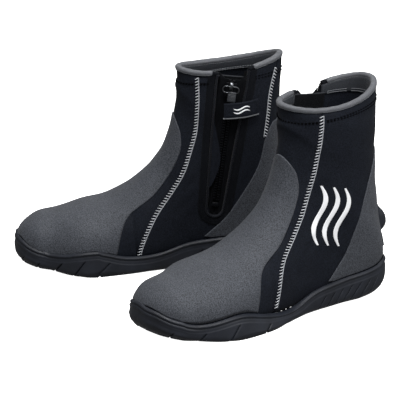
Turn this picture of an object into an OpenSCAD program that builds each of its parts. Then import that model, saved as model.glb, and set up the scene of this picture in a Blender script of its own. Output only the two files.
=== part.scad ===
// A pair of neoprene boots with moulded rubber soles and side zips, in millimetres.
//
// Both boots are drawn from one skin, the outer face of the neoprene. A place on it is a chart point
// [t, a]: t runs from the toe tip (0) to the collar (15), one unit for each row of PROFILE, and a is
// the angle round the section at t: 90 top or front, 0 outer side, -90 sole or heel back, -180 inner
// side, -270 top again. The skin's own axes are v across (outer side +), u forward from the heel
// and z up. stand() sets a boot down as the left (+1) or right (-1) one, toes toward -Y.

/* [Stance] */
// Outward turn of each boot
toe_out = 15.6; // [0:0.1:20]
// Half the sideways distance between the two boots
half_width = 93.6; // [85:0.1:130]
// How far the left boot stands back and the right boot stands ahead of the middle
half_lead = 28.3; // [0:0.1:40]

/* [Upper] */
// Thickness of the neoprene
neoprene_t = 5; // [3:0.5:5]
// Thickness of the grey vamp and heel overlays
overlay_t = 1.2; // [0.6:0.1:1.4]
// Drop of the collar's sides below its front and back
collar_dip = 6; // [0:0.5:8]
// Thickness of the folded collar binding
binding_t = 6.8; // [6:0.2:8]
// Width of the flatlocked seams
seam_w = 5; // [4:0.5:6]

/* [Sole] */
// Thickness of the rubber wall
wall_t = 4; // [3:0.5:5]
// Rise of the sole under the toe tip
toe_spring = 11; // [6:1:14]
// How far the strap nub stands out of the heel
nub_out = 8; // [5:0.5:9]

/* [Zip] */
// Half width of the zip opening near the collar
slot_top = 15.5; // [14:0.5:16]
// Half width of the zip opening at its rounded end
slot_end = 8.5; // [8:0.5:9.5]
// Width of one tooth row
tooth_w = 2.6; // [2.2:0.1:2.8]
// Distance between teeth of one row
tooth_pitch = 2.8; // [2.6:0.2:3.4]
// Travel of the slider
zip_travel = 116; // [100:2:118]

/* [Hidden] */
LEFT = 1;
RIGHT = -1;
OUTER = 1;
INNER = -1;
gap = 0.1;
mid_u = 143.8;
collar = 15;

// Side view of the skin, toe to collar: [top forward, top height, bottom forward, bottom height]
PROFILE = [
  [245, 58, 252, 5], [218, 65, 218, 6], [185, 74, 180, 6], [155, 94, 142, 6], [134, 118, 104, 6],
  [123, 143, 59, 7], [118, 163, 21, 8], [115, 178, 0, 32], [115, 188, 2, 72], [116, 195, 5, 110],
  [114, 201, 6, 152], [114, 206, 4, 190], [115, 214, 2, 228]];
// Half widths of the foot rows, [outer, inner], and of the leg rows of each boot. The right boot
// stands flatter, so its collar is narrower.
FOOT_W = [[50, 36], [55, 53], [51, 51], [46, 43], [39, 34], [37, 34]];
LEFT_LEG_W = [[39, 35.5], [41, 37], [40, 37.5], [40, 38.5], [41, 39.5], [41, 40], [38, 40]];
RIGHT_LEG_W = [[39, 33.5], [40, 32.5], [37, 31.5], [35, 31], [34, 30.5], [32, 29.5], [28, 29]];
toe_tip = [287, 30];
// Sideways shift of the first rows, which bends the toe inward
TOE_SHIFT = [-9, -9, -8, -7, -3];
// Share of each section's height at its widest line, and the squareness above and below it
WIDEST = [[0, 0.42], [3, 0.36], [5, 0.36], [8, 0.44], [12, 0.5], [15, 0.5]];
ABOVE = [[0, 2.1], [3, 2.1], [6, 2], [15, 2]];
BELOW = [[0, 2.2], [1, 3], [3, 4], [8, 4], [10, 3.2], [11, 2.5], [13, 2.1], [15, 2]];

// Lines on the two sides of the boot, as [forward, height] in side view
OUTER_SEAM = [[89, 218], [90, 207], [92, 180], [96, 151], [103, 128], [112, 106], [125, 86], [145, 61],
  [154, 29], [157, 12]];
INNER_SEAM = [[95, 217], [94, 207], [94, 180], [96, 151], [102, 128], [110, 105], [122, 85], [141, 59],
  [155, 29], [158, 12]];
REAR_SEAM = [[7, 227], [10, 214], [13, 202], [16, 186], [18, 165], [21, 142], [23, 115], [25, 80],
  [28, 45], [30, 17]];
VAMP_EDGE = [[181, 22], [175, 48], [166, 63], [141, 81], [123, 103], [112, 127], [111, 145], [114, 155]];
HEEL_OUTER = [[81, 29], [62, 55], [50, 83], [37, 116], [23, 143], [11, 158]];
HEEL_INNER = [[87, 35], [64, 57], [47, 81], [29, 112], [21, 142], [13, 157]];
// Top edge of the rubber, heel to toe; both sides meet at the heel back and over the toe
RIM_OUTER = [[6, 41], [20, 34], [60, 29], [100, 24], [135, 12], [170, 18], [205, 26], [245, 21], [270, 27],
  [281, 34]];
RIM_INNER = [[6, 43], [20, 39], [60, 35], [100, 30], [135, 20], [170, 20], [205, 29], [245, 23], [270, 28],
  [281, 35]];
rim_heel = [10.28, -90];
rim_toe = 0.6;
// Lowest stitched line of the upper, as a share of the section's height
foot_share = 0.07;

// Zip line on the inner side, [forward, height], from below the notch to the rounded end
zip_high = [58, 203];
zip_low = [77, 58];
zip_len = norm(zip_high - zip_low);
notch_rise = 18;
rear_rise = 22.2;
tape_z = -3.6;
tape_t = 0.9;
teeth_z = tape_z + tape_t;
teeth_t = 2;
half_split = 0.6;
slider_top = 5;
slider_len = 14;
pivot = [1.5, 2.4];

// The flap that keeps the puller down: rear edge, front edge and its lower and upper edge heights
keeper_u = [30, 66];
keeper_low = [171, 168.5];
keeper_high = [188, 185];
keeper_t = 2.4;

NAMES = ["outsole", "heel_rest", "strobel_board", "insole", "front_panel", "outer_quarter",
  "inner_quarter", "vamp_overlay", "heel_overlay", "collar_binding", "outer_front_seam",
  "inner_front_seam", "rear_seam", "hem_stitching", "side_mark", "zip_surround", "zip_piping",
  "zip_gusset", "zip_tape_front", "zip_tape_rear", "zip_teeth_front", "zip_teeth_rear",
  "zip_top_stops", "zip_bottom_stop", "zip_slider", "pull_ring", "pull_strap", "keeper_flap",
  "keeper_piping", "keeper_badge"];

// ---- small helpers ----

function mix(p, q, k) = p + (q - p) * k;
function signed_pow(x, e) = x < 0 ? -pow(-x, e) : pow(x, e);
function unit(v) = v / norm(v);
function spline(p, q, r, s, f) =
  q + 0.5 * f * (r - p + f * (2 * p - 5 * q + 4 * r - s + f * (3 * (q - r) + s - p)));

// Place at share f of a smooth curve through the points of list P, and n + 1 even places along it
function curve_at(P, f) = let (x = f * (len(P) - 1), i = min(floor(x), len(P) - 2))
  spline(P[max(i - 1, 0)], P[i], P[i + 1], P[min(i + 2, len(P) - 1)], x - i);
function smooth(P, n) = [for (k = [0:n]) curve_at(P, k / n)];

// ---- the skin ----

function cap_row(k) = let (r = PROFILE[0], c = cos(30 * k), s = sin(30 * k))
  [mix(r[0], toe_tip[0], c), mix(toe_tip[1], r[1], pow(s, 1.1)), mix(r[0], toe_tip[0], c),
   mix(toe_tip[1], r[3], pow(s, 0.75)), FOOT_W[0][0] * s, FOOT_W[0][1] * s, TOE_SHIFT[k]];
function rows(leg) = let (w = concat(FOOT_W, leg)) concat(
  [for (k = [0:2]) cap_row(k)],
  [for (k = [0:len(PROFILE) - 1]) concat(PROFILE[k], w[k], [k < 2 ? TOE_SHIFT[k + 3] : 0])]);
// A row before the tip and one past the collar, so that the spline has ends
function with_ends(r) = concat(
  [[r[1][0], 2 * r[0][1] - r[1][1], r[1][2], 2 * r[0][3] - r[1][3], -r[1][4], -r[1][5], r[1][6]]],
  r, [2 * r[15] - r[14]]);
LEFT_ROWS = with_ends(rows(LEFT_LEG_W));
RIGHT_ROWS = with_ends(rows(RIGHT_LEG_W));
function boot_rows(side) = side == LEFT ? LEFT_ROWS : RIGHT_ROWS;

// Section at t: [top u, top z, bottom u, bottom z, outer half width, inner half width, shift]
function section(B, t) = let (i = min(max(floor(t), 0), len(B) - 4))
  spline(B[i], B[i + 1], B[i + 2], B[i + 3], t - i);

// Point of the skin at chart point [t, a]
function skin(B, t, a) = let (
    s = section(B, t), c = lookup(t, WIDEST), up = sin(a) >= 0, n = lookup(t, up ? ABOVE : BELOW),
    x = signed_pow(cos(a), 2 / n), y = signed_pow(sin(a), 2 / n), k = c + y * (up ? 1 - c : c),
    dip = collar_dip * pow(cos(a) * max(t - 11, 0) / 4, 2))
  [s[6] + x * (x > 0 ? s[4] : s[5]), mix(s[2], s[0], k), mix(s[3], s[1], k) - dip];
function normal(B, t, a) = unit(cross(
  skin(B, t, a + 1) - skin(B, t, a - 1), skin(B, t + 0.02, a) - skin(B, max(t - 0.02, 0), a)));
function above(B, t, a, d) = skin(B, t, a) + d * normal(B, t, a);

// Chart angle of the point at share k of the way up section t
function share_angle(t, k, side) = let (
    c = lookup(t, WIDEST), b = max(-1, min(1, k >= c ? (k - c) / (1 - c) : (k - c) / c)),
    n = lookup(t, k >= c ? ABOVE : BELOW), a = asin(signed_pow(b, n / 2)))
  side == OUTER ? a : -180 - a;

// The section whose line passes through the side-view point p, by halving
function find_t(B, p, lo = 0, hi = 15, k = 16) = k == 0 ? (lo + hi) / 2 : let (
    m = (lo + hi) / 2, s = section(B, m),
    behind = (s[0] - s[2]) * (p[1] - s[3]) > (s[1] - s[3]) * (p[0] - s[2]))
  find_t(B, p, behind ? m : lo, behind ? hi : m, k - 1);
// Chart point of the side-view point p on the outer or inner side
function chart(B, p, side) = let (
    t = find_t(B, p), s = section(B, t), d = [s[0] - s[2], s[1] - s[3]],
    k = ([p[0] - s[2], p[1] - s[3]] * d) / (d * d))
  [t, share_angle(t, k, side)];
function charted(B, P, side) = [for (p = P) chart(B, p, side)];
// Inner-side chart points counted from the front, 90 to 270, instead of from the back
function from_front(c) = [for (p = c) [p[0], p[1] + 360]];

// ---- solids on the skin ----

function quad(a, b, c, d) = [[a, b, c], [a, c, d]];

// Closed solid on a grid of points [t, a, inner offset, outer offset]
module plate(B, g) {
  nc = len(g[0]);
  n = len(g) * nc;
  at = [for (row = g) for (p = row) let (s = skin(B, p[0], p[1]), m = normal(B, p[0], p[1]))
    [s + p[2] * m, s + p[3] * m, m]];
  solid_grid([for (p = at) p[0]], [for (p = at) p[1]], nc, at[floor(n / 2) - floor(nc / 2)][2]);
}

// Closed solid between two grids of nc columns; up is the outward direction near the middle
module solid_grid(under, over, nc, up) {
  n = len(over);
  nr = n / nc;
  cells = [for (i = [0:nr - 2]) for (j = [0:nc - 2]) i * nc + j];
  m = cells[floor(len(cells) / 2)];
  flip = cross(over[m + 1] - over[m], over[m + nc] - over[m]) * up > 0;
  faces = concat(
    [for (k = cells) each quad(n + k, n + k + 1, n + k + nc + 1, n + k + nc)],
    [for (k = cells) each quad(k, k + nc, k + nc + 1, k + 1)],
    [for (j = [0:nc - 2]) each quad(j, j + 1, n + j + 1, n + j)],
    [for (j = [0:nc - 2]) let (k = n - nc + j) each quad(k + 1, k, n + k, n + k + 1)],
    [for (i = [0:nr - 2]) let (k = i * nc) each quad(k + nc, k, n + k, n + k + nc)],
    [for (i = [0:nr - 2]) let (k = i * nc + nc - 1) each quad(k, k + nc, n + k + nc, n + k)]);
  polyhedron(concat(under, over), flip ? [for (f = faces) [f[2], f[1], f[0]]] : faces, convexity = 8);
}

// Grids: rows blended between two chart curves, and a patch filled in from its four edges, with its
// rows at the shares F of the way from low to high
function ruled(p, q, F, d0, d1) = [for (f = F) [for (i = [0:len(p) - 1])
  concat(mix(p[i], q[i], f), [d0, d1])]];
function even(n) = [for (j = [0:n]) j / n];
function filled(low, high, first, last, F, d0, d1) = let (ni = len(low) - 1)
  [for (j = [0:len(F) - 1]) [for (i = [0:ni]) let (x = i / ni, y = F[j])
    concat(mix(low[i], high[i], y) + mix(first[j], last[j], x)
      - mix(mix(low[0], low[ni], x), mix(high[0], high[ni], x), y), [d0, d1])]];

// Neoprene stops below the binding, which is binding_drop above the skin's last row
function top_t(B, a) = collar - 3.2 / norm(skin(B, 15, a) - skin(B, 14, a));
function trimmed(B, g) = [for (row = g) [for (p = row)
  p[0] < 12 ? p : concat([mix(12, top_t(B, p[1]), (p[0] - 12) / 3)], [p[1], p[2], p[3]])]];

// Bead of radius r along points P, with the outward directions N
module bead(P, N, r, n = 6, flat = 1) {
  last = len(P) - 1;
  rings = [for (k = [0:last]) let (
      along = unit(P[min(k + 1, last)] - P[max(k - 1, 0)]), across = unit(cross(along, N[k])),
      up = cross(across, along))
    for (j = [0:n - 1]) P[k] + r * (cos(360 * j / n) * across + flat * sin(360 * j / n) * up)];
  faces = concat(
    [[for (j = [n - 1:-1:0]) j]], [[for (j = [0:n - 1]) last * n + j]],
    [for (k = [0:last - 1]) for (j = [0:n - 1]) let (q = (j + 1) % n)
      each quad(k * n + j, k * n + q, k * n + n + q, k * n + n + j)]);
  polyhedron(rings, [for (f = faces) [for (i = [len(f) - 1:-1:0]) f[i]]], convexity = 8);
}

// ---- lines and zones ----

function foot_angle(t) = share_angle(t, foot_share, OUTER);
function outer_seam(B) = charted(B, smooth(OUTER_SEAM, 26), OUTER);
function inner_seam(B) = charted(B, smooth(INNER_SEAM, 26), INNER);
function rear_seam_line(B) = charted(B, smooth(REAR_SEAM, 20), INNER);
function rim(B, side) = concat([rim_heel],
  charted(B, smooth(side == OUTER ? RIM_OUTER : RIM_INNER, 26), side), [[rim_toe, side == OUTER ? 90 : -270]]);
function shifted(P, da) = [for (p = P) [p[0], p[1] + da]];
// Every n-th share of a list, by nearest place
function pick(P, n) = [for (k = [0:n]) P[round(k / n * (len(P) - 1))]];

// Height of the ground under the sole
function ground(u) = u < 205 ? 0 : toe_spring * pow((u - 205) / 85, 2);
function smooth_step(x) = let (k = max(0, min(1, x))) k * k * (3 - 2 * k);
function sole_face(B, t, a) = let (m = normal(B, t, a), p = skin(B, t, a) + wall_t * m,
    k = smooth_step((-m[2] - 0.25) * 2))
  [p[0], p[1], max(mix(p[2], ground(p[1]), k), ground(p[1]))];

// ---- zip geometry: x to the rear, y up the zip line, z out of the boot ----

function zip_end(B, p) = let (c = chart(B, p, INNER)) skin(B, c[0], c[1]);
module on_zip(B) {
  top = zip_end(B, zip_high);
  up = unit(top - zip_end(B, zip_low));
  c = chart(B, mix(zip_high, zip_low, 0.5), INNER);
  m = normal(B, c[0], c[1]);
  out = unit(m - (m * up) * up);
  rear = cross(up, out);
  multmatrix([for (k = [0:2]) [rear[k], up[k], out[k], top[k]]]) children();
}
// Half width of the opening at distance s down the zip line, and its outline in side view
function half_slot(s) = mix(slot_top, slot_end, max(0, s) / (zip_len - slot_end));
zip_dir = unit(zip_low - zip_high);
zip_fore = [-zip_dir[1], zip_dir[0]];
function zip_side(s, w) = zip_high + s * zip_dir + w * zip_fore;
function slot_line(grow, n) = let (e = zip_len - slot_end) concat(
  [for (k = [0:n]) let (s = mix(-notch_rise, e, k / n)) zip_side(s, half_slot(s) + grow)],
  [for (k = [1:5]) zip_side(e + (slot_end + grow) * sin(30 * k), (slot_end + grow) * cos(30 * k))],
  [for (k = [n:-1:0]) let (s = mix(-rear_rise, e, k / n)) zip_side(s, -half_slot(s) - grow)]);

// ---- sub-parts of one boot ----

module outsole(B) {
  outer = rim(B, OUTER);
  inner = rim(B, INNER);
  ts = [0.03, 0.3, rim_toe, 0.8, 1.1, 1.5, 2, 2.6, 3.2, 4, 4.7, 5.4, 6.2, 7, 7.8, 8.4, 8.8, 9.1, 9.4,
    9.7, 10, 10.25];
  nc = 21;
  n = nc * len(ts);
  chart_grid = [for (t = ts) for (j = [0:nc - 1])
    [t, mix(t <= rim_toe ? 90 : lookup(t, outer), t <= rim_toe ? -270 : lookup(t, inner), j / (nc - 1))]];
  under = [for (c = chart_grid) above(B, c[0], c[1], gap)];
  over = [for (c = chart_grid) sole_face(B, c[0], c[1])];
  closed = 2;
  cells = [for (i = [0:len(ts) - 2]) for (j = [0:nc - 2]) i * nc + j];
  // On the rows that close over the toe the last column is the first one
  function weld(k) = let (i = floor((k % n) / nc), j = k % nc) i <= closed && j == nc - 1 ? k - nc + 1 : k;
  function kept(F) = [for (f = F) let (w = [for (k = f) weld(k)])
    if (w[0] != w[1] && w[1] != w[2] && w[0] != w[2]) [w[2], w[1], w[0]]];
  faces = kept(concat(
    [for (k = cells) each quad(n + k, n + k + nc, n + k + nc + 1, n + k + 1)],
    [for (k = cells) each quad(k, k + 1, k + nc + 1, k + nc)],
    [for (j = [1:nc - 3]) [n, n + j, n + j + 1]],
    [for (j = [1:nc - 3]) [0, j + 1, j]],
    [for (j = [0:nc - 2]) let (k = n - nc + j) each quad(k, k + 1, n + k + 1, n + k)],
    [for (i = [closed:len(ts) - 2]) let (k = i * nc) each quad(k, k + nc, n + k + nc, n + k)],
    [for (i = [closed:len(ts) - 2]) let (k = i * nc + nc - 1) each quad(k + nc, k, n + k, n + k + nc)]));
  color("#3a3d44") polyhedron(concat(under, over), faces, convexity = 10);
}

// Rubber strip up the heel with the nub that a strap rests on
module heel_rest(B) {
  heights = [45, 50, 55, 59, 61, 63, 66, 71, 75, 79, 82, 85, 88];
  bulge = [[59, 0], [61, 0.35], [63, 0.75], [66, 0.95], [71, 1], [75, 0.9], [79, 0.68], [82, 0.4], [85, 0]];
  g = [for (z = heights) let (t = find_t(B, [0, z]), w = mix(36, 25, (z - 45) / 43))
    [for (k = [-5:5]) let (x = k / 5)
      [t, -90 + w * x, overlay_t + 0.3,
       overlay_t + 1.6 + (nub_out - overlay_t) * lookup(z, bulge) * (1 - pow(x, 6))]]];
  color("#3a3d44") plate(B, g);
}

module strobel_board(B) {
  g = [for (t = [1.4, 1.8, 2.4, 3.2, 4, 5, 6, 7, 8, 8.6, 9.1]) let (a = foot_angle(t) - 4)
    [for (k = [0:6]) [t, mix(a, -180 - a, k / 6), -1.9, -gap]]];
  color("#8a8578") plate(B, g);
}

module insole(B) {
  g = [for (t = [1.8, 2.4, 3.2, 4, 5, 6, 7, 8, 8.6, 9])
    [for (k = [0:6]) [t, mix(-66, -114, k / 6), -4.6, -2.1]]];
  color("#26282c") plate(B, g);
}

module front_panel(B) {
  outer = outer_seam(B);
  inner = from_front(inner_seam(B));
  low = outer[len(outer) - 1][0];
  low_in = inner[len(inner) - 1][0];
  ts = [0.03, 0.3, 0.8, 1.4, 2.1, 3, 4, 5, 5.6, 6.3, 7.1, 8, 9, 10, 11.5, 13, 15];
  g = [for (t = ts) let (
      a = (t < low ? foot_angle(t) : lookup(t, outer)) + 0.25,
      b = (t < low_in ? 180 - foot_angle(t) : lookup(t, inner)) - 0.25)
    [for (k = [0:14]) [t, mix(a, b, k / 14), -neoprene_t, 0]]];
  color("#1c2028") plate(B, trimmed(B, g));
}

function up_seam(P) = [for (k = [len(P) - 1:-1:0]) P[k]];
module outer_quarter(B) {
  first = pick(up_seam(shifted(outer_seam(B), -0.25)), 13);
  last = pick(up_seam(shifted(rear_seam_line(B), 0.25)), 13);
  t0 = first[0][0];
  t1 = last[0][0];
  low = concat([first[0]], [for (k = [1:9]) let (t = mix(t0, 9.15, k / 9)) [t, foot_angle(t)]],
    [[9.32, -68], [9.4, -90], [9.32, -112], [9.15, -180 - foot_angle(9.15)], last[0]]);
  high = [for (k = [0:14]) [15, mix(first[13][1], last[13][1], k / 14)]];
  color("#1c2028") plate(B, trimmed(B, filled(low, high, first, last, even(13), -neoprene_t, 0)));
}

module inner_quarter(B) {
  slot = pick(charted(B, slot_line(0, 8), INNER), 22);
  seam = shifted(inner_seam(B), -0.25);
  rear = up_seam(shifted(rear_seam_line(B), -0.25));
  t0 = seam[len(seam) - 1][0];
  t1 = rear[0][0];
  around = concat(pick(seam, 8), [for (k = [1:5]) let (t = mix(t0, t1, k / 6)) [t, -180 - foot_angle(t)]],
    pick(rear, 8));
  color("#1c2028") plate(B, trimmed(B, ruled(slot, around, even(4), -neoprene_t, 0)));
}

// Place just above the rubber's top edge
function over_rim(B, u, side) = chart(B, [u, lookup(u, side == OUTER ? RIM_OUTER : RIM_INNER) + 0.8], side);

module vamp_overlay(B) {
  rows = [0, 0.04, 0.09, 0.15, 0.22, 0.3, 0.4, 0.5, 0.6, 0.7, 0.8, 0.9, 1];
  edge = [for (k = [1:len(rows) - 1]) curve_at(VAMP_EDGE, rows[k])];
  first = concat([over_rim(B, 181, OUTER)], charted(B, edge, OUTER));
  last = from_front(concat([over_rim(B, 181, INNER)], charted(B, edge, INNER)));
  toe = [193, 205, 218, 231, 243, 253, 262, 270, 276, 281];
  low = concat([first[0]], [for (u = toe) over_rim(B, u, OUTER)], [[0.72, 55], [0.64, 90], [0.72, 125]],
    from_front([for (k = [len(toe) - 1:-1:0]) over_rim(B, toe[k], INNER)]), [last[0]]);
  end = len(rows) - 1;
  high = [for (k = [0:len(low) - 1]) let (x = k / (len(low) - 1))
    mix(first[end], last[end], x) + [0.12 * sin(180 * x), 0]];
  color("#4b4e55") plate(B, filled(low, high, first, last, rows, 2 * gap, overlay_t + gap));
}

module heel_overlay(B) {
  first = pick(charted(B, smooth(HEEL_OUTER, 16), OUTER), 8);
  last = pick(charted(B, smooth(HEEL_INNER, 16), INNER), 8);
  low = concat([first[0]],
    [for (u = [66, 50, 34, 20, 8]) over_rim(B, u, OUTER)], [[10.33, -90]],
    [for (u = [8, 20, 34, 50, 68]) over_rim(B, u, INNER)], [last[0]]);
  high = [for (k = [0:12]) let (c = mix(first[8], last[8], k / 12)) c + [0.12 * sin(15 * k), 0]];
  color("#4b4e55") plate(B, filled(low, high, first, last, even(8), 2 * gap, overlay_t + gap));
}

module collar_binding(B) {
  front = chart(B, zip_side(-notch_rise, slot_top), INNER)[1] + 360;
  rear = chart(B, zip_side(-notch_rise, -slot_top), INNER)[1];
  angles = [for (k = [0:36]) mix(front - 2, rear + 2, k / 36)];
  up = [for (a = angles) unit(skin(B, 15.05, a) - skin(B, 14.95, a))];
  P = [for (k = [0:36]) above(B, collar, angles[k], -neoprene_t / 2) + 0.2 * up[k]];
  color("#6f7276") bead(P, up, binding_t / 2, 8, 0.85);
}

// Flat strip of seam thread on the skin along the side-view line P
module seam_strip(B, P, side, w, n) {
  pts = smooth(P, n);
  g = [for (k = [0:n]) let (d = unit(pts[min(k + 1, n)] - pts[max(k - 1, 0)]), s = w / 2 * [-d[1], d[0]])
    [for (x = [-1, 0, 1]) concat(chart(B, pts[k] + x * s, side), [gap, 0.6])]];
  plate(B, g);
}
module outer_front_seam(B) {
  color("#aaafb4") seam_strip(B, [for (k = [1:8]) OUTER_SEAM[k]], OUTER, seam_w, 18);
}
module inner_front_seam(B) {
  color("#aaafb4") seam_strip(B, [for (k = [1:8]) INNER_SEAM[k]], INNER, seam_w, 18);
}
module rear_seam(B) {
  color("#aaafb4") seam_strip(B, [for (k = [1:4]) REAR_SEAM[k]], INNER, seam_w - 1, 10);
}

// Line of hem stitching below the binding, broken at the seams and at the zip
module hem_stitching(B) {
  z = function(u) mix(212, 199, u / 115);
  seam_out = chart(B, [90, z(90)], OUTER)[1];
  seam_in = chart(B, [94, z(94)], INNER)[1];
  slot_front = chart(B, zip_side(0, slot_top + 8), INNER)[1];
  slot_rear = chart(B, zip_side(0, -slot_top - 8), INNER)[1];
  rear = chart(B, [12, z(12)], INNER)[1];
  spans = [[seam_out + 5, seam_in + 355, 10], [rear + 7, seam_out - 5, 16], [slot_rear + 6, rear - 7, 4],
    [seam_in + 5, slot_front - 6, 4]];
  color("#15181e") for (s = spans) plate(B, [for (k = [0:s[2]]) let (
      a = mix(s[0], s[1], k / s[2]), t = find_t(B, let (p = skin(B, 14.2, a)) [p[1], z(p[1])]))
    [[t - 0.03, a, 0.05, 0.5], [t + 0.03, a, 0.05, 0.5]]]);
}

// Printed mark on the outer quarter: three slanted wave stripes
module side_mark(B) {
  color("#e8eaec") for (k = [0:2]) {
    base = [70 + 13 * k, 66 + 3 * k];
    g = [for (j = [0:10])
      let (s = j / 10, mid = base + [6 * sin(360 * s) - 6 * s, 62 * s], w = 3.2 * sin(20 + 140 * s))
      [for (x = [-1, 1]) concat(chart(B, mid + [x * w, 0], OUTER), [0.05, 0.3])]];
    plate(B, g);
  }
}

module zip_surround(B) {
  inside = charted(B, slot_line(2.6, 8), INNER);
  outside = charted(B, slot_line(10, 8), INNER);
  g = ruled(pick(inside, 22), pick(outside, 22), [0, 1], 0.05, 0.5);
  color("#14161b") plate(B, [for (row = g) [for (p = row) concat([min(p[0], top_t(B, p[1]) - 0.1)],
    [p[1], p[2], p[3]])]]);
}

module zip_piping(B) {
  line = charted(B, slot_line(1.2, 10), INNER);
  c = [for (p = line) [min(p[0], top_t(B, p[1]) - 0.1), p[1]]];
  color("#2a2e36") bead([for (p = c) above(B, p[0], p[1], 0.8)], [for (p = c) normal(B, p[0], p[1])], 0.8);
}

// Flap behind the zip; its top edge shows in the notch
module zip_gusset(B) {
  g = [for (k = [0:8]) let (s = mix(-12, zip_len - 6, k / 8), w = half_slot(s) + 5)
    [for (x = [-1, -0.35, 0.35, 1]) let (d = abs(x) == 1 ? -5.2 : -6.6)
      concat(chart(B, zip_side(s, x * w), INNER), [d - 1.8, d])]];
  color("#0d0f13") plate(B, g);
}

// One half of the tape: straight along the chain, tapering edge outside, cut back for the notch
module zip_tape(B, to_rear) {
  e = zip_len - slot_end;
  edge = [for (s = [-8, 0, e / 2, e - 4]) [half_slot(s) - 0.5, -s]];
  end = [for (k = [1:2]) [(slot_end - 0.5) * cos(35 * k), -e - (slot_end - 2) * sin(35 * k)]];
  on_zip(B) translate([0, 0, tape_z]) mirror([to_rear ? 0 : 1, 0, 0]) linear_extrude(tape_t)
    polygon(concat([[half_split, 8.5], [8, 8.5], [slot_top - 0.8, notch_rise - 3]], edge, end,
      [[half_split, -zip_len + 2]]));
}
module zip_tape_front(B) { color("#101216") zip_tape(B, false); }
module zip_tape_rear(B) { color("#101216") zip_tape(B, true); }

module zip_teeth(B, to_rear) {
  count = floor((zip_len - slot_end - 10) / tooth_pitch);
  on_zip(B) mirror([to_rear ? 0 : 1, 0, 0]) for (k = [0:count])
    translate([half_split + 0.1, 2 - (k + (to_rear ? 0.5 : 0)) * tooth_pitch, teeth_z])
      cube([tooth_w, tooth_pitch * 0.62, teeth_t]);
}
module zip_teeth_front(B) { color("#181a1f") zip_teeth(B, false); }
module zip_teeth_rear(B) { color("#181a1f") zip_teeth(B, true); }

module zip_top_stops(B) {
  color("#202228") on_zip(B) for (m = [0, 1]) mirror([m, 0, 0])
    translate([half_split + 0.2, slider_top + 0.6, teeth_z]) cube([tooth_w, 2.2, teeth_t]);
}
module zip_bottom_stop(B) {
  color("#202228") on_zip(B) translate([-3.5, slider_top - slider_len - zip_travel - 7, teeth_z])
    cube([7, 4, teeth_t]);
}

// Slider: a plate above and one below the chain, joined by a thin web, with side lips and a bridge
module slider_outline() {
  polygon([[-5.5, slider_top], [5.5, slider_top], [5.5, slider_top - 6], [4.4, slider_top - slider_len],
    [-4.4, slider_top - slider_len], [-5.5, slider_top - 6]]);
}
module zip_slider(B) {
  top_z = teeth_z + teeth_t + 0.3;
  back_z = tape_z - 1.4;
  color("#34373d") on_zip(B) {
    translate([0, 0, top_z]) linear_extrude(1.1) slider_outline();
    translate([0, 0, back_z]) linear_extrude(1) slider_outline();
    translate([-0.3, slider_top - 4, back_z + 0.5]) cube([0.6, 4, top_z - back_z]);
    for (x = [-5.3, 4.3]) translate([x, slider_top - 6, top_z - 1.4]) cube([1, 5.6, 1.6]);
    // Bridge with the ring's bore
    translate([-1.6, 0, 0]) rotate([90, 0, 90]) linear_extrude(3.2) difference() {
      polygon([[pivot[0] - 4, top_z + 0.6], [pivot[0] - 1.8, pivot[1] + 1.6],
        [pivot[0] + 1.8, pivot[1] + 1.6], [pivot[0] + 3, top_z + 0.6]]);
      translate(pivot) circle(r = 0.9, $fn = 32);
    }
  }
}

// Bent wire ring through the bridge: a straight bar at each end of two half rounds
ring_r = 0.65;
ring_half = 5.1;
ring_bend = 3.5;
module pull_ring(B) {
  color("#44474d") on_zip(B) translate([0, pivot[0], pivot[1]]) {
    for (y = [0, -2 * ring_bend]) translate([-ring_half, y, 0]) rotate([0, 90, 0])
      cylinder(r = ring_r, h = 2 * ring_half, $fn = 32);
    for (m = [0, 1]) mirror([m, 0, 0]) translate([ring_half, -ring_bend, 0]) rotate([0, 0, -90])
      rotate_extrude(angle = 180, $fn = 48) translate([ring_bend, 0]) circle(r = ring_r, $fn = 32);
  }
}

// Moulded strap that hangs from the ring, closed round its lower bar
module pull_strap(B) {
  strap_w = 8.5;
  color("#202328") on_zip(B) translate([-2.5, pivot[0] - 2 * ring_bend, pivot[1]]) difference() {
    union() {
      translate([0, -9.6, 0.2]) cube([strap_w, 9.6, 1.1]);
      rotate([0, 90, 0]) cylinder(r = 1.3, h = strap_w, $fn = 48);
    }
    translate([-1, 0, 0]) rotate([0, 90, 0]) cylinder(r = ring_r + 0.05, h = strap_w + 2, $fn = 48);
  }
}

// Height of the keeper's inner face above the skin: hinge line, arch over slider and puller
KEEPER_RISE = [[30, 0.8], [34, 1.6], [38, 2.9], [43, 4.3], [48, 5], [58, 5.2], [66, 5]];
function keeper_rise(u) = lookup(u, KEEPER_RISE);
function keeper_place(x, y) = let (u = mix(keeper_u[0], keeper_u[1], x))
  [u, mix(mix(keeper_low[0], keeper_low[1], x), mix(keeper_high[0], keeper_high[1], x), y)];
module keeper_flap(B) {
  g = [for (x = [0, 0.08, 0.17, 0.27, 0.38, 0.5, 0.66, 0.83, 1]) [for (y = [0, 0.5, 1])
    let (p = keeper_place(x, y), r = keeper_rise(p[0])) concat(chart(B, p, INNER), [r, r + keeper_t])]];
  color("#1c2028") plate(B, g);
}
module keeper_piping(B) {
  c = [for (k = [0:9]) let (p = keeper_place(k / 9, 0) - [0, 1])
    concat(chart(B, p, INNER), [keeper_rise(p[0])])];
  color("#83878c") bead([for (p = c) above(B, p[0], p[1], p[2] + keeper_t / 2)],
    [for (p = c) normal(B, p[0], p[1])], 0.9);
}
// Printed wave on the flap
module keeper_badge(B) {
  g = [for (k = [0:8])
    let (x = mix(0.28, 0.74, k / 8), w = 0.16 * sin(15 + 150 * k / 8), y = 0.5 + 0.13 * sin(45 * k))
    [for (s = [-1, 1]) let (p = keeper_place(x, y + s * w), r = keeper_rise(p[0]) + keeper_t)
      concat(chart(B, p, INNER), [r + 0.15, r + 0.4])]];
  color("#e8eaec") plate(B, g);
}

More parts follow.
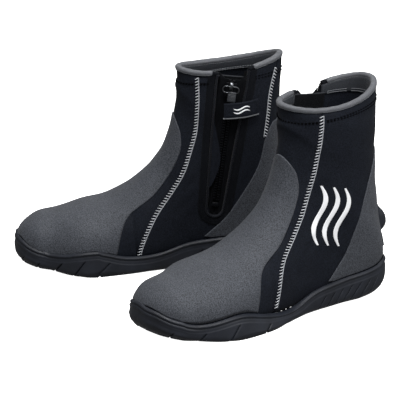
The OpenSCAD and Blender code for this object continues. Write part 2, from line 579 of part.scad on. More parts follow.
// ---- the pair ----

module stand(side) {
  translate([side * half_width, side * half_lead, 0]) rotate([0, 0, side * toe_out])
    mirror([side == LEFT ? 0 : 1, 0, 0]) translate([0, mid_u, 0]) mirror([0, 1, 0]) children();
}

for (side = [LEFT, RIGHT]) {
  B = boot_rows(side);
  name = side == LEFT ? "left_" : "right_";
  stand(side) outsole(B);
  stand(side) heel_rest(B);
  stand(side) strobel_board(B);
  stand(side) insole(B);
  stand(side) front_panel(B);
  stand(side) outer_quarter(B);
  stand(side) inner_quarter(B);
  stand(side) vamp_overlay(B);
  stand(side) heel_overlay(B);
  stand(side) collar_binding(B);
  stand(side) outer_front_seam(B);
  stand(side) inner_front_seam(B);
  stand(side) rear_seam(B);
  stand(side) hem_stitching(B);
  stand(side) side_mark(B);
  stand(side) zip_surround(B);
  stand(side) zip_piping(B);
  stand(side) zip_gusset(B);
  stand(side) zip_tape_front(B);
  stand(side) zip_tape_rear(B);
  stand(side) zip_teeth_front(B);
  stand(side) zip_teeth_rear(B);
  stand(side) zip_top_stops(B);
  stand(side) zip_bottom_stop(B);
  stand(side) zip_slider(B);
  stand(side) pull_ring(B);
  stand(side) pull_strap(B);
  stand(side) keeper_flap(B);
  stand(side) keeper_piping(B);
  stand(side) keeper_badge(B);
}
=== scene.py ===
"""Looks of a pair of neoprene boots: panels, rubber soles, seams, bound collars and side zips.

Lengths are millimetres in a boot's own axes, v across (outer side +), u forward from the heel and
z up, until Boot.place turns them into metres in the shared frame. As in the CAD, a place on the
boot's skin is a chart point (t, a): t from the toe tip (0) to the collar (15), and a the angle
round the section there: 90 top or front, 0 outer side, -90 sole or heel back, -180 inner side.
"""
import math

import bmesh
import bpy
import numpy as np
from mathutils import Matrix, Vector


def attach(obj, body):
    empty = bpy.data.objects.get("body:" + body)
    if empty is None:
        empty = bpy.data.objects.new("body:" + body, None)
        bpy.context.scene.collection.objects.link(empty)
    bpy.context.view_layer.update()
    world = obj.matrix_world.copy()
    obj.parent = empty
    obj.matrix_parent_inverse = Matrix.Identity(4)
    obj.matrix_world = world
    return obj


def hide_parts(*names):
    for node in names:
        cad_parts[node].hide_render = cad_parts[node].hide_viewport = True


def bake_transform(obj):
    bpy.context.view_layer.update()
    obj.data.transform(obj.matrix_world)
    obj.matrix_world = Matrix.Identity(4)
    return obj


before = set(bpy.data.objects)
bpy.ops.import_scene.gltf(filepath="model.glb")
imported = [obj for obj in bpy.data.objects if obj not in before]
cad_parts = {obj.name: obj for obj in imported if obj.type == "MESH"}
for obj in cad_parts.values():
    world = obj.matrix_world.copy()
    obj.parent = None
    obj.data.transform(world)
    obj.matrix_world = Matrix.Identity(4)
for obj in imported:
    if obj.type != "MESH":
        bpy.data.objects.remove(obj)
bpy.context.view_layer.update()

# ---------------------------------------------------------------- driving dimensions, as in the CAD

MM = 0.001
OUTER, INNER = 1, -1
TOE_OUT, HALF_WIDTH, HALF_LEAD, MID_U = math.radians(15.6), 93.6, 28.3, 143.8
NEOPRENE, OVERLAY, COLLAR_DIP, COLLAR = 5.0, 1.2, 6.0, 15.0
WALL, TOE_SPRING = 4.0, 11.0
# Side view of the skin, toe to collar: top forward, top height, bottom forward, bottom height
PROFILE = np.array([
    [245, 58, 252, 5], [218, 65, 218, 6], [185, 74, 180, 6], [155, 94, 142, 6], [134, 118, 104, 6],
    [123, 143, 59, 7], [118, 163, 21, 8], [115, 178, 0, 32], [115, 188, 2, 72], [116, 195, 5, 110],
    [114, 201, 6, 152], [114, 206, 4, 190], [115, 214, 2, 228]], float)
# Half widths, outer and inner, of the foot rows and of each boot's leg rows
FOOT_W = [[50, 36], [55, 53], [51, 51], [46, 43], [39, 34], [37, 34]]
LEG_W = {
    "left": [[39, 35.5], [41, 37], [40, 37.5], [40, 38.5], [41, 39.5], [41, 40], [38, 40]],
    "right": [[39, 33.5], [40, 32.5], [37, 31.5], [35, 31], [34, 30.5], [32, 29.5], [28, 29]],
}
TOE_TIP = (287, 30)
TOE_SHIFT = (-9, -9, -8, -7, -3)
WIDEST = ([0, 3, 5, 8, 12, 15], [0.42, 0.36, 0.36, 0.44, 0.5, 0.5])
ABOVE = ([0, 3, 6, 15], [2.1, 2.1, 2, 2])
BELOW = ([0, 1, 3, 8, 10, 11, 13, 15], [2.2, 3, 4, 4, 3.2, 2.5, 2.1, 2])

# Lines on the two sides of a boot, as (forward, height)
OUTER_SEAM = [(89, 218), (90, 207), (92, 180), (96, 151), (103, 128), (112, 106), (125, 86), (145, 61),
              (154, 29), (157, 12)]
INNER_SEAM = [(95, 217), (94, 207), (94, 180), (96, 151), (102, 128), (110, 105), (122, 85), (141, 59),
              (155, 29), (158, 12)]
REAR_SEAM = [(7, 227), (10, 214), (13, 202), (16, 186), (18, 165), (21, 142), (23, 115), (25, 80),
             (28, 45), (30, 17)]
VAMP_EDGE = [(181, 22), (175, 48), (166, 63), (141, 81), (123, 103), (112, 127), (111, 145), (114, 155)]
HEEL_EDGE = {OUTER: [(81, 29), (62, 55), (50, 83), (37, 116), (23, 143), (11, 158)],
             INNER: [(87, 35), (64, 57), (47, 81), (29, 112), (21, 142), (13, 157)]}
RIM = {OUTER: [(6, 41), (20, 34), (60, 29), (100, 24), (135, 12), (170, 18), (205, 26), (245, 21),
               (270, 27), (281, 34)],
       INNER: [(6, 43), (20, 39), (60, 35), (100, 30), (135, 20), (170, 20), (205, 29), (245, 23),
               (270, 28), (281, 35)]}
RIM_HEEL, RIM_TOE = 10.28, 0.6
RIM_SPAN, RIM_N, RIM_TURN_N = (6.5, 281), 500, 60  # span of a side's rim; points on a side and on a turn
RIM_LAP = 0.5  # how far over the rim the grey covers start
FOOT_SHARE = 0.03  # how far up its side view the neoprene ends at the sole
TRIM = 1.6  # neoprene stops this far below the collar's edge, under the binding

# Zip line on the inner side and the parts on it
ZIP_HIGH, ZIP_LOW = np.array([58.0, 203.0]), np.array([77.0, 58.0])
ZIP_LEN = float(np.linalg.norm(ZIP_LOW - ZIP_HIGH))
NOTCH_RISE, REAR_RISE, SLOT_TOP, SLOT_END = 18.0, 22.2, 15.5, 8.5
TAPE_Z, TAPE_T, TOOTH_PITCH, TOOTH_W = -3.6, 0.9, 2.8, 2.6
PIVOT = (1.5, 2.4)
SLIDER_TOP, SLIDER_LEN = 5.0, 14.0
KEEPER_U, KEEPER_LOW, KEEPER_HIGH, KEEPER_T = (30, 66), (171, 168.5), (188, 185), 2.4
KEEPER_RISE = ([30, 34, 38, 43, 48, 58, 66], [0.8, 1.6, 2.9, 4.3, 5, 5.2, 5])
TRAVEL = 116.0  # of the slider
RING_R = 0.65

# Sewing, in millimetres unless said otherwise
SEAM_GAP = 0.12  # degrees left between a panel's edge and the seam
SEAM_PITCH, SEAM_HALF, SEAM_LEAN, CORD_R = 3.2, 1.95, 0.9, 0.45
PANEL_EDGE, SEAM_PINCH, PINCH_REACH = 1.6, 0.35, 3.0
OVERLAY_UNDER = 0.15
BINDING_HALF = 3.3
# A stitch as shares of its length, and its height there as multiples of its lift
STITCH_RUN = np.array([-0.5, -0.38, -0.15, 0.15, 0.38, 0.5])
STITCH_RISE = np.array([-0.9, 0.1, 1, 1, 0.1, -0.9])
# Metres within which vertices are joined, and below which an edge is dropped
WELD, SLIVER = 2e-6, 1e-7


# ---------------------------------------------------------------- curves and the skin

def mix(p, q, k):
    return p + (q - p) * k


def smooth_step(x, low=0.0, high=1.0):
    k = np.clip((x - low) / (high - low), 0, 1)
    return k * k * (3 - 2 * k)


def spline_at(points, f):
    """Places at shares f of a smooth curve through the points."""
    P = np.asarray(points, float)
    x = np.clip(np.asarray(f, float), 0, 1) * (len(P) - 1)
    i = np.minimum(x.astype(int), len(P) - 2)
    k = (x - i)[:, None]
    p, q, r, s = P[np.maximum(i - 1, 0)], P[i], P[i + 1], P[np.minimum(i + 2, len(P) - 1)]
    return q + 0.5 * k * (r - p + k * (2 * p - 5 * q + 4 * r - s + k * (3 * (q - r) + s - p)))


def run_of(P):
    """Running length along a polyline."""
    return np.r_[0, np.cumsum(np.linalg.norm(np.diff(P, axis=0), axis=1))]


def picked(A, step, at):
    """Rows of A at the running lengths at, where step holds the running lengths of A's own rows."""
    return np.stack([np.interp(at, step, A[:, k]) for k in range(A.shape[1])], -1)


def even_along(P, n):
    """n + 1 places evenly spaced along a dense polyline."""
    P = np.asarray(P, float)
    step = run_of(P)
    return picked(P, step, np.linspace(0, step[-1], n + 1))


def unit(v):
    return v / np.maximum(np.linalg.norm(v, axis=-1, keepdims=True), 1e-12)


def cap_row(k):
    r, c, s = PROFILE[0], math.cos(math.radians(30 * k)), math.sin(math.radians(30 * k))
    forward = mix(r[0], TOE_TIP[0], c)
    return [forward, mix(TOE_TIP[1], r[1], s ** 1.1), forward, mix(TOE_TIP[1], r[3], s ** 0.75),
            FOOT_W[0][0] * s, FOOT_W[0][1] * s, TOE_SHIFT[k]]


def ground(u):
    return TOE_SPRING * (np.maximum(u - 205, 0) / 85) ** 2


class Boot:
    """One boot's skin, and its place in the shared frame."""

    def __init__(self, name):
        self.name = name
        self.side = 1 if name == "left" else -1
        widths = FOOT_W + LEG_W[name]
        body = [list(p) + w + [TOE_SHIFT[k + 3] if k < 2 else 0]
                for k, (p, w) in enumerate(zip(PROFILE, widths))]
        R = np.array([cap_row(k) for k in range(3)] + body, float)
        before = [R[1][0], 2 * R[0][1] - R[1][1], R[1][2], 2 * R[0][3] - R[1][3], -R[1][4], -R[1][5], R[1][6]]
        self.rows = np.vstack([before, R, 2 * R[-1] - R[-2]])

    def section(self, t):
        t = np.asarray(t, float)
        i = np.clip(np.floor(t).astype(int), 0, len(self.rows) - 4)
        k = (t - i)[..., None]
        p, q, r, s = (self.rows[i + j] for j in range(4))
        return q + 0.5 * k * (r - p + k * (2 * p - 5 * q + 4 * r - s + k * (3 * (q - r) + s - p)))

    def skin(self, t, a):
        t, a = np.broadcast_arrays(np.asarray(t, float), np.radians(np.asarray(a, float)))
        s = self.section(t)
        c = np.interp(t, *WIDEST)
        C, S = np.cos(a), np.sin(a)
        n = np.where(S >= 0, np.interp(t, *ABOVE), np.interp(t, *BELOW))
        x = np.sign(C) * np.abs(C) ** (2 / n)
        y = np.sign(S) * np.abs(S) ** (2 / n)
        k = c + y * np.where(S >= 0, 1 - c, c)
        dip = COLLAR_DIP * (C * np.maximum(t - 11, 0) / 4) ** 2
        return np.stack([s[..., 6] + x * np.where(x > 0, s[..., 4], s[..., 5]),
                         mix(s[..., 2], s[..., 0], k), mix(s[..., 3], s[..., 1], k) - dip], -1)

    def normal(self, t, a):
        t = np.asarray(t, float)
        across = self.skin(t, a + 0.6) - self.skin(t, a - 0.6)
        along = self.skin(t + 0.01, a) - self.skin(np.maximum(t - 0.01, 0), a)
        return unit(np.cross(across, along))

    def above(self, c, d):
        """Points above the skin at chart points c; d is one height, or one for each."""
        c, d = np.asarray(c, float), np.asarray(d, float)
        return self.skin(c[..., 0], c[..., 1]) + d[..., None] * self.normal(c[..., 0], c[..., 1])

    def chart(self, P, side):
        """Chart points of side-view points P on one side."""
        P = np.asarray(P, float)
        low, high = np.zeros(P.shape[:-1]), np.full(P.shape[:-1], COLLAR)
        for _ in range(22):
            m = (low + high) / 2
            s = self.section(m)
            run, rise = s[..., 0] - s[..., 2], s[..., 1] - s[..., 3]
            behind = run * (P[..., 1] - s[..., 3]) > rise * (P[..., 0] - s[..., 2])
            low, high = np.where(behind, m, low), np.where(behind, high, m)
        t = (low + high) / 2
        s = self.section(t)
        d = np.stack([s[..., 0] - s[..., 2], s[..., 1] - s[..., 3]], -1)
        share = ((P - s[..., [2, 3]]) * d).sum(-1) / (d * d).sum(-1)
        return np.stack([t, self.share_angle(t, share, side)], -1)

    def share_angle(self, t, share, side):
        c = np.interp(t, *WIDEST)
        b = np.clip(np.where(share >= c, (share - c) / (1 - c), (share - c) / c), -1, 1)
        n = np.where(share >= c, np.interp(t, *ABOVE), np.interp(t, *BELOW))
        a = np.degrees(np.arcsin(np.sign(b) * np.abs(b) ** (n / 2)))
        return a if side == OUTER else -180 - a

    def line(self, points, side, n=120, shares=(0, 1)):
        """Chart points along a side-view line."""
        return self.chart(spline_at(points, np.linspace(*shares, n + 1)), side)

    def top_t(self, a):
        """How far along the boot the neoprene goes at an angle."""
        return COLLAR - TRIM / np.linalg.norm(self.skin(15, a) - self.skin(14, a), axis=-1)

    def trimmed(self, c):
        """Chart grid with its last rows drawn down below the binding."""
        out = np.array(c, float)
        high = out[..., 0] > 12
        top = self.top_t(out[..., 1])
        out[..., 0] = np.where(high, mix(12, top, (out[..., 0] - 12) / 3), out[..., 0])
        return out

    def place(self, P):
        """Boot millimetres to metres in the shared frame."""
        P = np.asarray(P, float)
        x, y = self.side * P[:, 0], MID_U - P[:, 1]
        c, s = math.cos(self.side * TOE_OUT), math.sin(self.side * TOE_OUT)
        return np.stack([c * x - s * y + self.side * HALF_WIDTH, s * x + c * y + self.side * HALF_LEAD,
                         P[:, 2]], 1) * MM

    def zip_frame(self):
        """Origin and axes of the zip: to the rear, up the zip line, and out of the boot."""
        top, low = (self.above(self.chart(p, INNER), 0) for p in (ZIP_HIGH, ZIP_LOW))
        up = unit(top - low)
        c = self.chart((ZIP_HIGH + ZIP_LOW) / 2, INNER)
        out = self.normal(c[0], c[1])
        out = unit(out - (out @ up) * up)
        return top, np.array([np.cross(up, out), up, out])

    def on_zip(self, P):
        origin, axes = self.zip_frame()
        return origin + np.asarray(P, float) @ axes


ZIP_DIR = (ZIP_LOW - ZIP_HIGH) / ZIP_LEN
ZIP_FORE = np.array([-ZIP_DIR[1], ZIP_DIR[0]])


def half_slot(s):
    return mix(SLOT_TOP, SLOT_END, np.maximum(s, 0) / (ZIP_LEN - SLOT_END))


def zip_side(s, w):
    """Side-view places at distance s down the zip line and w toward the front."""
    s, w = np.broadcast_arrays(np.asarray(s, float), np.asarray(w, float))
    return ZIP_HIGH + s[..., None] * ZIP_DIR + w[..., None] * ZIP_FORE


def slot_line(grow, n=60):
    """Side-view outline of the zip opening, grown by some millimetres, front top to rear top."""
    e = ZIP_LEN - SLOT_END
    s, back = np.linspace(-NOTCH_RISE, e, n + 1), np.linspace(e, -REAR_RISE, n + 1)
    turn = np.radians(np.linspace(0, 180, 25))[1:-1]
    r = SLOT_END + grow
    return np.vstack([zip_side(s, half_slot(s) + grow), zip_side(e + r * np.sin(turn), r * np.cos(turn)),
                      zip_side(back, -half_slot(back) - grow)])


# ---------------------------------------------------------------- mesh building

def chart_grid(t, a):
    return np.stack(np.broadcast_arrays(np.asarray(t, float), a), -1)


class Mesh:
    """Vertices and faces of one piece, collected in boot millimetres."""

    def __init__(self, boot):
        self.boot = boot
        self.verts, self.faces, self.count = [], [], 0

    def add(self, verts, faces):
        verts = np.asarray(verts, float).reshape(-1, 3)
        self.verts.append(verts)
        self.faces.extend([tuple(int(i) + self.count for i in f) for f in faces])
        self.count += len(verts)
        return self

    def plate(self, top, under):
        """A closed plate between two grids of points."""
        return self.add(np.concatenate([top.reshape(-1, 3), under.reshape(-1, 3)]), shell_faces(*top.shape[:2]))

    def sheet(self, rows, ring=False):
        """An open sheet through rows of points."""
        return self.add(np.concatenate(rows), grid_faces(len(rows), len(rows[0]), ring))

    def on_zip(self, verts, faces):
        """Adds a solid drawn in the zip's own axes."""
        return self.add(self.boot.on_zip(verts), faces)

    def stitches(self, centres, ups, alongs, length, r, lift=0.35):
        """Short threads that rise out of the cloth and go down again."""
        for c, up, along in zip(centres, *(np.broadcast_to(A, centres.shape) for A in (ups, alongs))):
            path = c + STITCH_RUN[:, None] * length * along + STITCH_RISE[:, None] * lift * up
            self.add(*tube(path, up, r, sides=6))
        return self

    def stitch_line(self, line, d, pitch, length, r, lift=0.3):
        """Stitches evenly spaced along a chart line, d above the skin."""
        boot = self.boot
        step = run_of(boot.above(line, 0))
        at = np.arange(pitch / 2, step[-1], pitch)
        c = picked(line, step, at)
        here, ahead = boot.above(c, d), boot.above(picked(line, step, at + 0.4), d)
        return self.stitches(here, boot.normal(c[:, 0], c[:, 1]), unit(ahead - here), length, r, lift)

    def make(self, name, material, body=None, slot=None, nodes=(), weld=False, smooth=True, outward=True):
        """Makes the object, which rides a body and stands for CAD nodes."""
        side = self.boot.name
        data = bpy.data.meshes.new(f"{side}_{name}_mesh")
        data.from_pydata(self.boot.place(np.vstack(self.verts)).tolist(), [], self.faces)
        obj = bpy.data.objects.new(f"{side}_{name}_look", data)
        bpy.context.scene.collection.objects.link(obj)
        bm = bmesh.new()
        bm.from_mesh(data)
        if weld:
            bmesh.ops.remove_doubles(bm, verts=bm.verts, dist=WELD)
            bmesh.ops.dissolve_degenerate(bm, edges=bm.edges, dist=SLIVER)
        if outward:
            bmesh.ops.recalc_face_normals(bm, faces=bm.faces)
        for f in bm.faces:
            f.smooth = smooth
        bm.to_mesh(data)
        bm.free()
        data.materials.append(MATERIALS[material])
        if body:
            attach(obj, f"{side}_{body}")
        if nodes:
            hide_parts(*[f"{side}_{n}" for n in nodes])
        return obj


def grid_faces(rows, cols, ring=False, start=0):
    """Quads of a grid, row by row; ring joins each row's last column to its first."""
    i, j = np.meshgrid(np.arange(rows - 1), np.arange(cols if ring else cols - 1), indexing="ij")
    a, b = i * cols + j, i * cols + (j + 1) % cols
    return (np.stack([a, b, b + cols, a + cols], -1).reshape(-1, 4) + start).tolist()


def shell_faces(rows, cols):
    """Faces of a closed plate: outer grid, inner grid reversed, and the wall round the edge."""
    n = rows * cols
    outer = grid_faces(rows, cols)
    inner = [f[::-1] for f in grid_faces(rows, cols, start=n)]
    edge = (list(range(cols)) + [i * cols + cols - 1 for i in range(1, rows)]
            + [(rows - 1) * cols + j for j in range(cols - 2, -1, -1)] + [i * cols for i in range(rows - 2, 0, -1)])
    wall = [(p, n + p, n + q, q) for p, q in zip(edge, edge[1:] + edge[:1])]
    return outer + inner + wall


def closed_stack(layers):
    """Vertices and faces of a solid through stacked closed outlines, with flat ends."""
    n, last = len(layers[0]), (len(layers) - 1) * len(layers[0])
    ends = [tuple(range(n))[::-1], tuple(range(last, last + n))]
    return np.concatenate(layers), grid_faces(len(layers), n, ring=True) + ends


def tube(points, up, wide, high=None, sides=10, ring=False, power=1.0):
    """Vertices and faces of a bar swept along points; wide and high are its half sizes."""
    P, N = np.asarray(points, float), np.asarray(up, float)
    n = len(P)
    ahead = np.roll(P, -1, 0) if ring else P[np.minimum(np.arange(n) + 1, n - 1)]
    back = np.roll(P, 1, 0) if ring else P[np.maximum(np.arange(n) - 1, 0)]
    along = unit(ahead - back)
    across = unit(np.cross(along, N))
    rise = np.cross(across, along)
    a = 2 * np.pi * np.arange(sides) / sides
    ca, sa = (np.sign(w) * np.abs(w) ** power for w in (np.cos(a), np.sin(a)))
    wide = np.broadcast_to(np.asarray(wide, float), n)[:, None, None]
    high = wide if high is None else np.broadcast_to(np.asarray(high, float), n)[:, None, None]
    V = P[:, None] + wide * ca[:, None] * across[:, None] + high * sa[:, None] * rise[:, None]
    if not ring:
        return closed_stack(V)
    last = (n - 1) * sides
    join = [(last + j, last + (j + 1) % sides, (j + 1) % sides, j) for j in range(sides)]
    return V.reshape(-1, 3), grid_faces(n, sides, ring=True) + join


def rounded_ends(P, N, r, reach=1.0):
    """Points, directions and radii of a bar whose ends close in a half round."""
    P = np.asarray(P, float)
    first, last = unit(P[0] - P[1]), unit(P[-1] - P[-2])
    turns = np.radians([80, 55, 28])
    lead = [P[0] + first * r * reach * math.sin(x) for x in turns]
    tail = [P[-1] + last * r * reach * math.sin(x) for x in turns[::-1]]
    radii = np.r_[r * np.cos(turns), np.full(len(P), r), r * np.cos(turns[::-1])]
    return np.vstack([lead, P, tail]), np.vstack([[N[0]] * 3, N, [N[-1]] * 3]), radii


def edge_distance(P, border, block=4000):
    """Distance of each point from the nearest of a border's points."""
    P = P.reshape(-1, 3)
    out = np.empty(len(P))
    for k in range(0, len(P), block):
        d = P[k:k + block, None] - border[None]
        out[k:k + block] = np.sqrt((d * d).sum(-1)).min(1)
    return out


def eased(n, edge):
    """Shares from 0 to 1, with a few more close to both ends for a rounded edge."""
    near = np.array([0, 0.12, 0.3, 0.55, 1]) * edge
    return np.r_[near, np.linspace(edge, 1 - edge, n + 1)[1:-1], 1 - near[::-1]]


def coons(low, high, first, last, x, y):
    """Chart grid filled in from its four edges, at the shares x along and y up."""
    X, Y = x[None, :, None], y[:, None, None]
    return (mix(low[None], high[None], Y) + mix(first[:, None], last[:, None], X)
            - mix(mix(low[0], low[-1], X), mix(high[0], high[-1], X), Y))


def border_of(G):
    return np.vstack([G[0], G[-1], G[:, 0], G[:, -1]])


def wrinkle(P):
    """Slow unevenness of soft neoprene, in millimetres."""
    v, u, z = P[..., 0], P[..., 1], P[..., 2]
    slow = 0.30 * np.sin(0.071 * z + 0.05 * u + 1.3) * np.sin(0.083 * v + 0.4)
    quick = 0.14 * np.sin(0.19 * z - 0.11 * u + 0.06 * v) + 0.10 * np.sin(0.23 * u + 0.17 * z + 0.13 * v + 2)
    bend = np.exp(-((z - 95) / 26) ** 2 - ((u - 112) / 26) ** 2)
    crease = 0.55 * bend * np.sin(0.33 * (z + 0.9 * u))
    return slow + quick + crease


def shared_out(boot, line, x):
    """Places at shares x of a chart line's length on the skin."""
    step = run_of(boot.above(line, 0))
    return picked(line, step, x * step[-1])


def soft_plate(boot, grid, inner, outer, edge_r, pinch=0.0):
    """Closed plate on the skin, with a rounded edge; pinch draws its border down, as a seam does."""
    base = boot.above(grid, 0)
    dist = edge_distance(base, border_of(base)).reshape(base.shape[:2])
    k = np.clip(dist / edge_r, 0, 1)
    lift = np.sqrt(1 - (1 - k) ** 2)
    d = mix(max(inner, outer - edge_r), outer, lift) - pinch * np.exp(-(dist / PINCH_REACH) ** 2)
    d = d + wrinkle(base) * smooth_step(dist, 2, 20)
    return Mesh(boot).plate(boot.above(grid, d), boot.above(grid, inner))


# ---------------------------------------------------------------- materials

class Shader:
    """A principled material under construction. Lengths of patterns are metres on the object."""

    def __init__(self, name, color, roughness, **sockets):
        self.mat = bpy.data.materials.new(name)
        self.mat.use_nodes = True
        self.tree = self.mat.node_tree
        self.bsdf = self.tree.nodes["Principled BSDF"]
        self.bsdf.inputs["Base Color"].default_value = (*color, 1)
        self.bsdf.inputs["Roughness"].default_value = roughness
        for key, value in sockets.items():
            self.bsdf.inputs[key.replace("_", " ")].default_value = value
        self.color = color
        self.coords = self.node("ShaderNodeTexCoord").outputs["Object"]

    def node(self, kind, **settings):
        n = self.tree.nodes.new(kind)
        for key, value in settings.items():
            if key in n.inputs:
                n.inputs[key].default_value = value
            else:
                setattr(n, key, value)
        return n

    def link(self, a, b):
        self.tree.links.new(a, b)

    def noise(self, scale, detail=2.0, rough=0.5, stretch=None):
        n = self.node("ShaderNodeTexNoise", Scale=scale, Detail=detail, Roughness=rough)
        self.link(self.mapped(stretch), n.inputs["Vector"])
        return n.outputs["Fac"]

    def cells(self, scale, stretch=None):
        n = self.node("ShaderNodeTexVoronoi", Scale=scale)
        n.feature = "F1"
        self.link(self.mapped(stretch), n.inputs["Vector"])
        return n.outputs["Distance"]

    def bands(self, scale, direction="Z", distortion=0.0):
        n = self.node("ShaderNodeTexWave", Scale=scale, Distortion=distortion)
        n.bands_direction = direction
        self.link(self.coords, n.inputs["Vector"])
        return n.outputs["Fac"]

    def mapped(self, stretch):
        if stretch is None:
            return self.coords
        m = self.node("ShaderNodeMapping")
        m.inputs["Scale"].default_value = stretch
        self.link(self.coords, m.inputs["Vector"])
        return m.outputs["Vector"]

    def ramp(self, fac, low, high, a, b):
        """fac from low to high becomes a to b."""
        n = self.node("ShaderNodeMapRange")
        self.link(fac, n.inputs["Value"])
        for key, value in zip(("From Min", "From Max", "To Min", "To Max"), (low, high, a, b)):
            n.inputs[key].default_value = value
        return n.outputs["Result"]

    def math(self, op, a, b):
        n = self.node("ShaderNodeMath", operation=op)
        for k, x in enumerate((a, b)):
            if isinstance(x, (int, float)):
                n.inputs[k].default_value = x
            else:
                self.link(x, n.inputs[k])
        return n.outputs["Value"]

    def tint(self, fac, dark, light):
        """Base colour varies between two multiples of the material's colour as fac goes 0 to 1."""
        n = self.node("ShaderNodeMix", data_type="RGBA")
        self.link(fac, n.inputs["Factor"])
        n.inputs[6].default_value = (*[c * dark for c in self.color], 1)
        n.inputs[7].default_value = (*[c * light for c in self.color], 1)
        self.link(n.outputs[2], self.bsdf.inputs["Base Color"])

    def mottle(self, fac, dark, light, low=0.3, high=0.7):
        self.tint(self.ramp(fac, low, high, 0, 1), dark, light)

    def bump(self, height, distance, strength=1.0):
        n = self.node("ShaderNodeBump", Strength=strength, Distance=distance)
        self.link(height, n.inputs["Height"])
        old = self.bsdf.inputs["Normal"].links
        if old:
            self.link(old[0].from_socket, n.inputs["Normal"])
        self.link(n.outputs["Normal"], self.bsdf.inputs["Normal"])

    def roughen(self, fac, a, b):
        self.link(self.ramp(fac, 0.3, 0.7, a, b), self.bsdf.inputs["Roughness"])


def neoprene_material():
    s = Shader("neoprene_jersey", (0.0064, 0.0080, 0.0124), 0.8, Sheen_Weight=0.02, Sheen_Roughness=0.4,
               Specular_IOR_Level=0.12)
    knit = s.cells(1500)
    speckle = s.noise(1000, 2, 0.7)
    s.mottle(speckle, 0.45, 1.8, 0.35, 0.65)
    s.bump(knit, 0.00025, 0.6)
    s.bump(s.noise(90, 3), 0.0006, 0.5)
    s.roughen(s.noise(60, 2), 0.7, 0.88)
    return s.mat


def overlay_material():
    s = Shader("grey_rubberised_cover", (0.0455, 0.0497, 0.0592), 0.6, Sheen_Weight=0.05, Sheen_Roughness=0.5,
               Specular_IOR_Level=0.25)
    grain = s.noise(950, 2, 0.75)
    s.mottle(grain, 0.4, 1.75, 0.35, 0.65)
    s.bump(grain, 0.0005, 0.8)
    s.bump(s.noise(2300, 1), 0.0002, 0.5)
    s.roughen(s.noise(500, 2), 0.5, 0.7)
    return s.mat


def sole_material():
    s = Shader("moulded_rubber", (0.0125, 0.0146, 0.0205), 0.42, Specular_IOR_Level=0.3)
    s.mottle(s.noise(55, 4), 0.8, 1.25)
    s.bump(s.noise(1600, 2, 0.6), 0.00012, 0.5)
    s.roughen(s.noise(240, 3), 0.42, 0.6)
    return s.mat


def tape_material(name, color, rough, weave=1800, depth=0.0002, sheen=0.3):
    """Woven or knitted tape: crossed threads with a little colour between them."""
    s = Shader(name, color, rough, Sheen_Weight=sheen, Sheen_Roughness=0.4,
               Specular_IOR_Level=0.4 if color[0] > 0.05 else 0.08)
    weft, warp = s.bands(weave, "Z"), s.bands(weave, "DIAGONAL")
    cloth = s.math("MULTIPLY", weft, warp)
    s.tint(s.math("MULTIPLY", s.ramp(cloth, 0, 0.8, 0.3, 1), s.ramp(s.noise(700, 2), 0.3, 0.7, 0.6, 1)), 0.55, 1.25)
    s.bump(cloth, depth, 0.7)
    s.roughen(s.noise(400, 2), rough - 0.08, rough + 0.1)
    return s.mat


def thread_material(name, color):
    s = Shader(name, color, 0.6, Sheen_Weight=0.1 if color[0] > 0.1 else 0.0,
               Specular_IOR_Level=0.3 if color[0] > 0.1 else 0.03)
    s.mottle(s.noise(1500, 2), 0.7, 1.2)
    s.bump(s.bands(2600, "DIAGONAL", 2.0), 0.00012, 0.7)
    return s.mat


def plain_material(name, color, rough, metallic=0.0, grain=900, depth=0.00008, spread=(0.8, 1.2)):
    """Moulded or cast surface with a fine grain and uneven gloss."""
    s = Shader(name, color, rough, Metallic=metallic, Specular_IOR_Level=0.5 if color[0] > 0.02 else 0.12)
    s.mottle(s.noise(grain, 3), *spread)
    s.bump(s.noise(grain * 2, 2), depth, 0.5)
    s.roughen(s.noise(grain / 3, 3), rough - 0.08, rough + 0.1)
    return s.mat


MATERIALS = {
    "neoprene": neoprene_material(),
    "overlay": overlay_material(),
    "sole": sole_material(),
    "binding": tape_material("satin_binding", (0.122, 0.128, 0.142), 0.34, 2400, 0.00012, 0.1),
    # Collar facing: grey satin tape, its colour darkened below the tape's own grey to paint the shade that falls
    # inside the collar
    "collar_facing": tape_material("collar_facing_tape_painted_shade", (0.046, 0.050, 0.058), 0.4, 2400, 0.00012, 0.08),
    "piping": tape_material("keeper_piping_tape", (0.20, 0.21, 0.225), 0.4, 2400, 0.00012, 0.12),
    "facing": tape_material("zip_facing_cloth", (0.0065, 0.0075, 0.0105), 0.75, 1900, 0.0002, 0.03),
    "welt": tape_material("zip_welt", (0.013, 0.0145, 0.019), 0.45, 2400, 0.0001, 0.06),
    "tape": tape_material("zip_tape_weave", (0.0035, 0.004, 0.0055), 0.8, 1500, 0.00025, 0.02),
    "gusset": tape_material("gusset_cloth", (0.005, 0.0055, 0.007), 0.6, 2100, 0.00015, 0.03),
    "board": tape_material("lasting_board", (0.060, 0.058, 0.054), 0.85, 900, 0.0003, 0.1),
    "insole": plain_material("insole_knit", (0.026, 0.027, 0.031), 0.85, 0, 1300, 0.0003),
    "seam": thread_material("flatlock_thread", (0.72, 0.74, 0.78)),
    "cord": thread_material("flatlock_cord", (0.42, 0.44, 0.47)),
    "dark_thread": thread_material("dark_thread", (0.0015, 0.0015, 0.002)),
    "grey_thread": thread_material("grey_thread", (0.16, 0.17, 0.185)),
    "print": plain_material("printed_film", (0.92, 0.93, 0.95), 0.55, 0, 1400, 0.00005, (0.93, 1.03)),
    "teeth": plain_material("moulded_teeth", (0.004, 0.0045, 0.006), 0.4),
    "metal": plain_material("dark_nickel", (0.11, 0.115, 0.125), 0.3, 1.0, 500, 0.00006, (0.75, 1.2)),
    "strap": plain_material("strap_rubber", (0.034, 0.037, 0.043), 0.42, 0, 1100, 0.0001),
    "grey_dark": thread_material("dim_thread", (0.009, 0.010, 0.0125)),
    "cord_grey": thread_material("gusset_hem_cord", (0.035, 0.037, 0.042)),
}


# ---------------------------------------------------------------- upper

